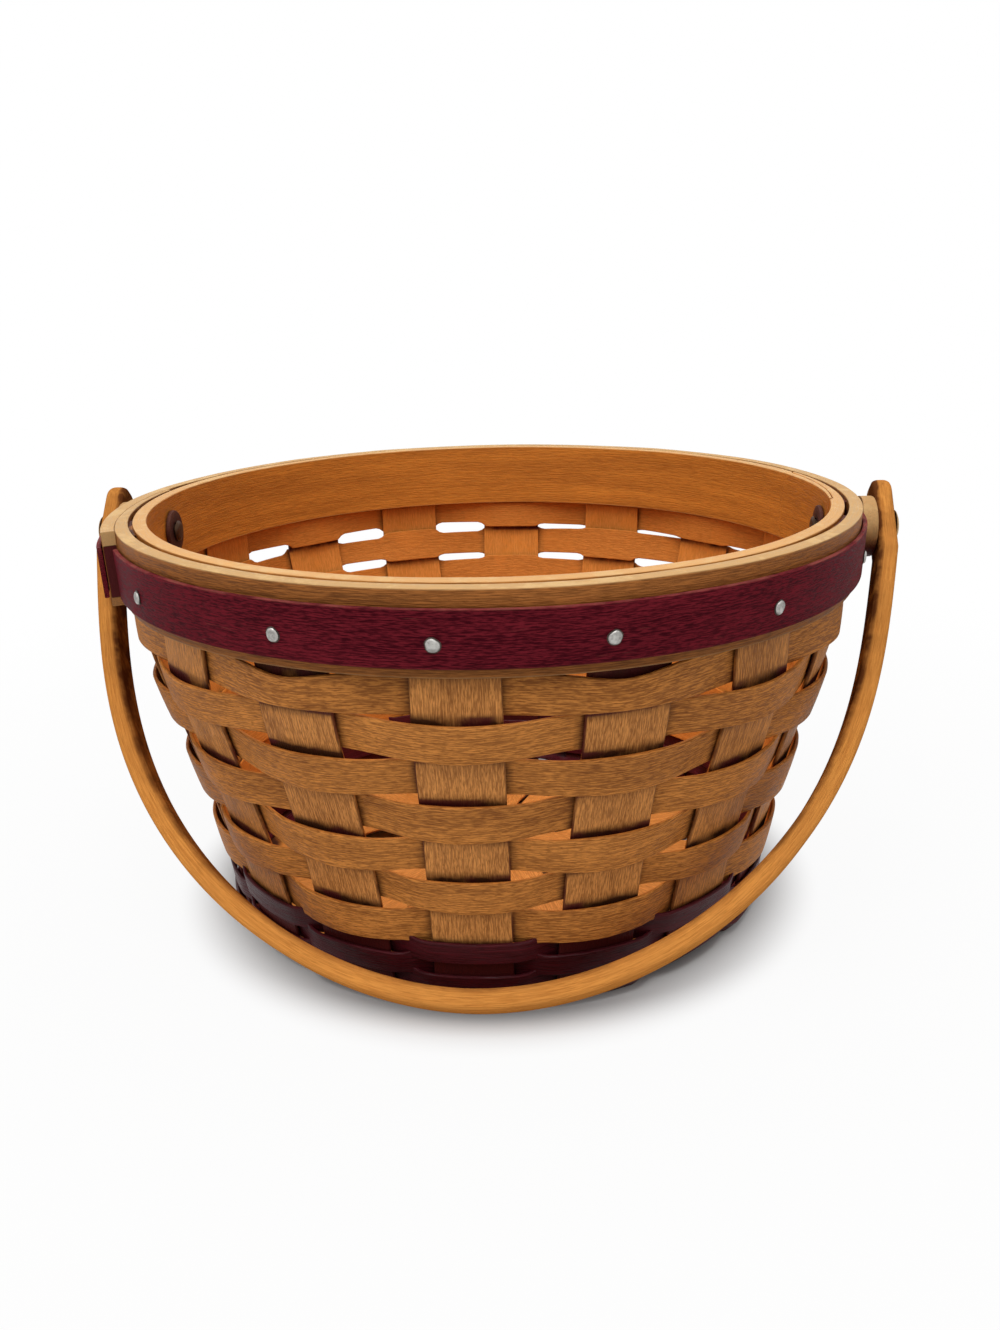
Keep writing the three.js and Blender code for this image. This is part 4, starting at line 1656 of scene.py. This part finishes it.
@dataclass
class Handle:
    """The bentwood hoop, laid forwards on the foot, in mm."""

    rim: Rim
    thickness: float = 5.2
    width: float = 11.0
    tip: float = 14.0
    edge_round: float = 1.5
    fullness: float = 1.93
    pinch: float = 2.4
    foot_gap: float = 0.5
    floor_gap: float = 2.0
    side_gap: float = 4.6
    pivot_below_rim: float = 9.8
    spacer_diameter: float = 17.0
    stain: LegShadeAndStain = LegShadeAndStain()
    bow_steps: int = 161
    tip_start: float = 0.2
    tip_steps: int = 11
    tip_least: float = 0.5
    tip_thin: float = 0.3
    leg_steps: int = 9
    grain: float = 57.0

    @property
    def pivot_height(self) -> float:
        """Gives the height of the pivot line."""
        return self.rim.wall.rim_height - self.pivot_below_rim

    @property
    def inside(self) -> float:
        """Gives the distance from the middle to the legs' inner faces."""
        wall = self.rim.wall
        shoulder = wall.shoulder_diameter / 2 + wall.splint + wall.seat_gap + wall.bulge + wall.splint / 2
        return max(self.rim.face_at(self.pivot_height, self.rim.trim_face), shoulder) + self.side_gap

    def build(self) -> None:
        """Builds the hoop."""
        add_piece("bentwood_handle", self.hoop(), HANDLE_WOOD, Body.HANDLE, "handle")

    def contact(self) -> tuple[float, float]:
        """Gives the hoop's depth and the angle at which it leans on the foot.

        Returns:
            The depth from the pivot line to the grip's middle, and the tilt in radians.
        """
        wall = self.rim.wall
        foot_face = wall.foot_diameter / 2 + wall.splint + wall.seat_gap + wall.narrow_bulge + wall.splint / 2
        run = self.thickness * math.sin(math.atan2(foot_face, self.pivot_height))
        reach = foot_face + self.foot_gap + run
        drop = self.pivot_height - self.floor_gap
        length = math.hypot(reach, drop)
        depth = math.sqrt(length ** 2 - (self.width / 2) ** 2) - self.thickness / 2
        return depth, math.atan2(reach, drop) + math.asin(self.width / 2 / length)

    def edge_line(self, turn: np.ndarray, grow: float, depth: float) -> np.ndarray:
        """Gives the hoop's line at an offset from its middle.

        Args:
            turn: Angles from one leg to the other.
            grow: The offset outwards.
            depth: The hoop's depth.

        Returns:
            Points across and down from the pivot line.
        """
        straight = self.spacer_diameter / 2 + self.rim.wall.seat_gap
        power = 2 / self.fullness
        x = np.sign(np.cos(turn)) * np.abs(np.cos(turn)) ** power
        y = np.abs(np.sin(turn)) ** power
        half = self.inside + self.thickness / 2
        lean = self.pinch * y * (1 - y) ** 3 / PINCH_PEAK
        out = x * (half + grow) - np.sign(x) * lean
        return np.stack([out, straight + y * (depth - straight + grow)], axis=-1)

    def hoop(self) -> Skin:
        """Lofts the hoop from one rounded tip to the other.

        Returns:
            Its skin.
        """
        depth, tilt = self.contact()
        turn = math.pi * (1 - np.linspace(0, 1, self.bow_steps))
        outer = self.edge_line(turn, self.thickness / 2, depth)
        inner = self.edge_line(turn, -self.thickness / 2, depth)
        straight = outer[0, 1]
        half = self.width / 2
        crown = self.tip - half + half * np.cos(np.linspace(self.tip_start, math.pi / 2, self.tip_steps)[:-1])
        rises = np.concatenate([crown, np.linspace(self.tip - half, -straight, self.leg_steps)[:-1]])
        legs: list[np.ndarray] = []
        for line in (outer, inner):
            lead = np.stack([np.full(len(rises), line[0, 0]), -rises], axis=-1)
            legs.append(np.concatenate([lead, line, lead[::-1] * [-1, 1]]))
        outer, inner = legs
        above = np.maximum(-outer[:, 1] - (self.tip - half), 0)
        width = 2 * np.sqrt(np.maximum(half ** 2 - above ** 2, self.tip_least))
        middle = (outer + inner) / 2
        through_line = outer - inner
        thick = np.linalg.norm(through_line, axis=1)
        through_unit = through_line / thick[:, None]
        dome = np.sqrt(np.maximum(1 - (above / half) ** 4, 0))
        thick = thick * (self.tip_thin + (1 - self.tip_thin) * dome)
        template = Section.rounded(5, 5)
        across, through = template.spread_out(width, thick, self.edge_round)
        flat = middle[:, None, :] + through[..., None] * through_unit[:, None, :]
        fall = flat[..., 1]
        points = np.stack([
            flat[..., 0],
            across * math.cos(tilt) - fall * math.sin(tilt),
            self.pivot_height - across * math.sin(tilt) - fall * math.cos(tilt),
        ], axis=-1)
        steps = np.linalg.norm(np.diff(middle, axis=0), axis=1)
        run = np.concatenate([[0.0], np.cumsum(steps)])[:, None] + 0 * across
        grain = np.stack([run, across, through + self.grain], axis=-1)
        edge = np.broadcast_to(template.edge, across.shape)
        return Skin(points, grain, edge, self.hoop_shade_and_stain(through, fall, depth))

    def hoop_shade_and_stain(self, through: np.ndarray, fall: np.ndarray, depth: float) -> np.ndarray:
        """Gives the painted shade of each point of the hoop, darkest on the legs' inner faces, and its stains
        near the pivots.

        Args:
            through: Places through its thickness.
            fall: How far down from the pivot line they are.
            depth: The hoop's depth.

        Returns:
            The painted shade and stains of each point.
        """
        stain = self.stain
        near = np.clip(1 - np.abs(fall + self.tip * stain.pivot_part) / stain.pivot_reach, 0, 1)
        leg = np.clip(stain.leg_top - fall / (stain.leg_part * depth), 0, 1)
        inner_face = ramp(-through, stain.face_start, stain.face_run)
        inner = stain.inner + stain.inner_pivot * near + stain.inner_leg * leg
        outer = stain.outer_pivot * near + stain.outer_leg * leg
        return inner_face * inner + (1 - inner_face) * outer


@dataclass
class Pivots:
    """The rivets, inner washers and spacers that carry the handle, in mm."""

    handle: Handle
    rivet: float = 4.0
    head: float = 9.0
    head_height: float = 1.3
    clinch: float = 6.0
    clinch_height: float = 0.9
    clinch_gap: float = 0.15
    rivet_swings: tuple[tuple[int, float], ...] = ((3, 0.012), (5, 0.01))
    bore_gap: float = 0.3
    washer: float = 12.0
    washer_thickness: float = 1.2
    washer_bevel: float = 0.35
    washer_wander: float = 0.03
    spacer_bevel: float = 0.5
    spacer_wander: float = 0.008
    spacer_blank: float = 1.2
    shade_middle: float = 0.35
    shade_slope: float = 2.2
    shade: float = 0.9
    bevel_round: float = 0.3
    rim_part: float = 0.93
    rim_rub: float = 0.8
    bore_part: float = 0.6
    bore_darkening: float = 0.7
    sides: int = 40

    def build(self) -> None:
        """Builds both pivots."""
        for side in Side:
            name = side.name.lower()
            pieces = (
                (f"{name}_rivet", self.rivet_skin(side), AGED_BRASS),
                (f"{name}_washer", self.washer_skin(side), DARK_WOOD),
                (f"{name}_spacer", self.spacer_skin(side), BAND),
            )
            for node, skin, finish in pieces:
                add_piece(f"pivot_{node}", skin, finish, Body.BASKET, node)

    @property
    def inner_face(self) -> float:
        """Gives the radius of the inner band's inner face at the pivots."""
        rim = self.handle.rim
        return rim.face_at(self.handle.pivot_height, -rim.clear - rim.thickness)

    def rivet_skin(self, side: Side) -> Skin:
        """Turns a rivet with a domed outer head and a clinched inner end.

        Args:
            side: Which pivot.

        Returns:
            Its skin.
        """
        gap = self.handle.rim.wall.seat_gap
        shank, head, clinch = self.rivet / 2, self.head / 2, self.clinch / 2
        outer = self.handle.inside + self.handle.thickness + gap
        inner = self.inner_face - 2 * gap - self.washer_thickness - self.clinch_gap
        profile = [
            (0.05, inner - self.clinch_height), (0.6 * clinch, inner - 0.95 * self.clinch_height),
            (0.9 * clinch, inner - 0.6 * self.clinch_height), (clinch, inner - 0.15), (0.9 * clinch, inner),
            (shank, inner), (shank, outer), (0.94 * head, outer), (head, outer + 0.2),
            (0.95 * head, outer + 0.45), (0.7 * head, outer + 0.95), (0.35 * head, outer + 1.22),
            (0.05, outer + self.head_height),
        ]
        centre = np.array([0.0, 0.0, self.handle.pivot_height])
        axis = np.array([float(side.value), 0.0, 0.0])
        uneven = np.minimum(1 + wavy(self.sides, 400 + side.value, self.rivet_swings), 1.0)
        return turned_skin(profile, centre, axis, uneven, seed=70 + side.value)

    def ring(self, outer: float, hole: float, bevel: float, length: float) -> list[tuple[float, float]]:
        """Gives the profile of a bevelled disc with a hole.

        Args:
            outer: Its outer radius.
            hole: Its hole's radius.
            bevel: The bevel of its outer edges.
            length: Its length along the axis.

        Returns:
            Radii and places along the axis, closed on themselves.
        """
        turn = self.bevel_round * bevel
        return [
            (hole, 0.0), (outer - bevel, 0.0), (outer - turn, turn), (outer, bevel),
            (outer, length - bevel), (outer - turn, length - turn), (outer - bevel, length),
            (hole, length),
        ]

    def washer_skin(self, side: Side) -> Skin:
        """Turns the washer inside the rim.

        Args:
            side: Which pivot.

        Returns:
            Its skin.
        """
        rim = self.handle.rim
        bore = self.rivet / 2 + self.bore_gap
        profile = self.ring(self.washer / 2, bore, self.washer_bevel, self.washer_thickness)
        start = self.inner_face - rim.wall.seat_gap - self.washer_thickness
        centre = np.array([side.value * start, 0.0, self.handle.pivot_height])
        axis = np.array([side.value * rim.normal[0], 0.0, rim.normal[1]])
        return self.ring_skin(profile, centre, axis, 80 + side.value, self.washer_wander)

    def spacer_skin(self, side: Side) -> Skin:
        """Turns the round spacer between the rim and a leg, its inner end curved to the rim.

        Args:
            side: Which pivot.

        Returns:
            Its skin.
        """
        handle, rim = self.handle, self.handle.rim
        lap = 180 + math.degrees(math.asin(handle.spacer_diameter / rim.wall.rim_diameter))
        shift = float(rim.lap_shift(lap)) if side is Side.LEFT else 0.0
        offset = rim.trim_face + rim.wall.seat_gap + shift
        face = rim.face_at(handle.pivot_height, offset)
        start = face - self.spacer_blank
        length = handle.inside - rim.wall.seat_gap - start
        bore = self.rivet / 2 + self.bore_gap
        profile = self.ring(handle.spacer_diameter / 2, bore, self.spacer_bevel, length)
        centre = np.array([side.value * start, 0.0, handle.pivot_height])
        axis = np.array([float(side.value), 0.0, 0.0])
        skin = self.ring_skin(profile, centre, axis, 90 + side.value, self.spacer_wander)
        seat = face + (skin.points[..., 2] - handle.pivot_height) * (rim.down[0] / rim.down[1])
        lowest = np.sqrt(np.maximum(seat ** 2 - skin.points[..., 1] ** 2, 0))
        skin.points[..., 0] = side.value * np.maximum(np.abs(skin.points[..., 0]), lowest)
        # Painted shade: the spacer grows darker towards its lower half and loses its rubbed edge there.
        below = (handle.pivot_height - skin.points[..., 2]) / handle.spacer_diameter
        shaded = np.clip(self.shade_middle + self.shade_slope * below, 0, 1)
        skin.edge = skin.edge * (1 - shaded)
        skin.tuck = np.maximum(skin.tuck, self.shade * shaded)
        return skin

    def ring_skin(
        self, profile: Profile, centre: np.ndarray, axis: np.ndarray, seed: int, wander: float,
    ) -> Skin:
        """Turns a closed profile into a ring.

        Args:
            profile: Radii and places along the axis.
            centre: The axis's origin.
            axis: The axis's direction.
            seed: The seed of its shape.
            wander: How uneven its outline is.

        Returns:
            Its skin, its sections running round the axis.
        """
        uneven = np.minimum(1 + wavy(self.sides, seed, [(2, wander), (3, wander / 2)]), 1.0)
        skin = turned_skin(profile, centre, axis, uneven, seed)
        reach = np.array([radius for radius, _ in profile])[:, None]
        reach = reach / reach.max()
        edge = np.broadcast_to(self.rim_rub * (reach > self.rim_part), skin.edge.shape)
        # Points near the bore are painted darker.
        tuck = np.broadcast_to(self.bore_darkening * (reach < self.bore_part), skin.tuck.shape)
        return Skin(
            skin.points.swapaxes(0, 1),
            skin.grain.swapaxes(0, 1),
            edge.swapaxes(0, 1),
            tuck.swapaxes(0, 1),
            is_ring=True,
        )


# The studio


@dataclass(frozen=True)
class Lamp:
    """A square lamp that faces the basket: its place and its side in metres, and its power in watts."""

    name: str
    place: tuple[float, float, float]
    size: float
    power: float


@dataclass
class Studio:
    """The floor, the light and the camera, in metres and radians."""

    camera_place: tuple[float, float, float] = (0.0, -0.3264, 0.1759)
    yaw: float = 0.00644
    pitch: float = 0.328198
    roll: float = -0.023146
    turn: float = math.radians(4.8)
    focal_pixels: float = 1154.04
    nearest: float = 0.01
    white: Colour = (1.0, 1.0, 1.0)
    ambient: float = 0.32
    ambient_colour: Colour = (1.0, 0.98, 0.95)
    lamps: tuple[Lamp, ...] = (
        Lamp("key_lamp", (-0.1, -0.55, 1.05), 0.8, 7.0),
        Lamp("top_lamp", (0.05, 0.05, 1.2), 0.9, 7.0),
        Lamp("left_fill", (-1.0, -0.6, 0.6), 0.7, 1.5),
        Lamp("right_fill", (1.0, -0.6, 0.6), 0.7, 0.75),
    )
    lamp_aim: tuple[float, float, float] = (0.0, 0.0, 0.06)
    floor_reach: float = 3.0
    floor_level: float = -0.0002
    floor_colour: Colour = (0.62, 0.62, 0.62)
    shadow_edge: tuple[float, float] = (0.075, 0.099)
    shadow_white: float = 0.94
    floor_edge: tuple[float, float] = (0.13, 0.4)
    floor_white: float = 0.06

    def build(self) -> None:
        """Builds the whole studio."""
        self.set_view()
        self.add_world()
        self.add_floor()
        self.add_lamps()
        self.add_camera()

    def set_view(self) -> None:
        """Sets the plain view transform."""
        bpy.context.scene.view_settings.view_transform = "Standard"

    def seen_share(self, graph: Graph) -> bpy.types.NodeSocket:
        """Gives 1 for rays from the camera or by reflection or refraction, and 0 for lighting rays.

        Args:
            graph: The graph to add the nodes to.

        Returns:
            The share's socket.
        """
        path = graph.add("ShaderNodeLightPath")
        seen = graph.math("ADD", path.outputs["Is Camera Ray"], path.outputs["Is Glossy Ray"])
        operands = {0: seen, 1: path.outputs["Is Transmission Ray"]}
        return graph.add("ShaderNodeMath", operands, operation="ADD", use_clamp=True).outputs[0]

    def add_world(self) -> None:
        """Makes a world that looks white and lights softly."""
        world = bpy.data.worlds.new("studio_white")
        world.use_nodes = True
        bpy.context.scene.world = world
        graph = Graph(world.node_tree)
        graph.tree.nodes.clear()
        light = graph.add("ShaderNodeBackground", {"Color": self.ambient_colour, "Strength": self.ambient})
        seen = graph.add("ShaderNodeBackground", {"Color": self.white, "Strength": 1.0})
        mix = graph.add("ShaderNodeMixShader", {0: self.seen_share(graph)})
        graph.feed(mix.inputs[1], light.outputs[0])
        graph.feed(mix.inputs[2], seen.outputs[0])
        graph.add("ShaderNodeOutputWorld", {"Surface": mix.outputs[0]})

    def add_floor(self) -> None:
        """Makes the pale floor, which shows white but keeps a faint shadow."""
        mesh = bpy.data.meshes.new("studio_floor")
        reach = self.floor_reach
        corners = [(-reach, -reach, 0), (reach, -reach, 0), (reach, reach, 0), (-reach, reach, 0)]
        mesh.from_pydata(corners, [], [(0, 1, 2, 3)])
        floor = bpy.data.objects.new("studio_floor", mesh)
        floor.location.z = self.floor_level
        bpy.context.scene.collection.objects.link(floor)
        material = bpy.data.materials.new("studio_floor_white")
        material.use_nodes = True
        graph = Graph(material.node_tree)
        graph.tree.nodes.clear()
        matt = graph.add("ShaderNodeBsdfDiffuse", {"Color": self.floor_colour})
        glow = graph.add("ShaderNodeEmission", {"Color": self.white, "Strength": 1.0})
        place = graph.add("ShaderNodeTexCoord").outputs["Object"]
        away = graph.add("ShaderNodeVectorMath", {0: place}, operation="LENGTH").outputs["Value"]
        near = graph.remap(away, *self.shadow_edge, 0.0, self.shadow_white)
        far = graph.remap(away, *self.floor_edge, 0.0, self.floor_white)
        share = graph.math("MULTIPLY", self.seen_share(graph), graph.math("ADD", near, far))
        mix = graph.add("ShaderNodeMixShader", {0: share})
        graph.feed(mix.inputs[1], matt.outputs[0])
        graph.feed(mix.inputs[2], glow.outputs[0])
        graph.add("ShaderNodeOutputMaterial", {"Surface": mix.outputs[0]})
        mesh.materials.append(material)

    def add_lamps(self) -> None:
        """Hangs the broad lamps above and above the front, and the soft fills at the sides."""
        for lamp in self.lamps:
            data = bpy.data.lights.new(lamp.name, "AREA")
            data.size = lamp.size
            data.energy = lamp.power
            hung = bpy.data.objects.new(lamp.name, data)
            hung.location = lamp.place
            aim = Vector(self.lamp_aim) - Vector(lamp.place)
            hung.rotation_euler = aim.to_track_quat("-Z", "Y").to_euler()
            bpy.context.scene.collection.objects.link(hung)

    def add_camera(self) -> None:
        """Sets the camera at the photograph's place and angle."""
        forward = Vector((
            math.sin(self.yaw) * math.cos(self.pitch),
            math.cos(self.yaw) * math.cos(self.pitch),
            -math.sin(self.pitch),
        ))
        right = forward.cross(Vector((0, 0, 1))).normalized()
        up = right.cross(forward)
        cos, sin = math.cos(self.roll), math.sin(self.roll)
        right, up = cos * right + sin * up, cos * up - sin * right
        data = bpy.data.cameras.new("studio_camera")
        data.sensor_fit = "VERTICAL"
        data.sensor_height = SENSOR_HEIGHT
        data.lens = SENSOR_HEIGHT * self.focal_pixels / IMAGE_HEIGHT
        data.clip_start = self.nearest
        camera = bpy.data.objects.new("studio_camera", data)
        axes = Matrix((right, up, -forward)).transposed().to_4x4()
        spin = Matrix.Rotation(self.turn, 4, "Z")
        camera.matrix_world = spin @ Matrix.Translation(Vector(self.camera_place)) @ axes
        bpy.context.scene.collection.objects.link(camera)
        bpy.context.scene.camera = camera


def main() -> None:
    """Builds the basket, its rim, its handle and the studio, in that order."""
    logging.basicConfig(level=logging.INFO, format="%(name)s %(message)s")
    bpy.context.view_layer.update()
    wall = WallShape()
    Weave(wall).build()
    rim = Rim(wall)
    rim.build()
    handle = Handle(rim)
    handle.build()
    Pivots(handle).build()
    Studio().build()
    bpy.context.view_layer.update()


if __name__ == "__main__":
    main()
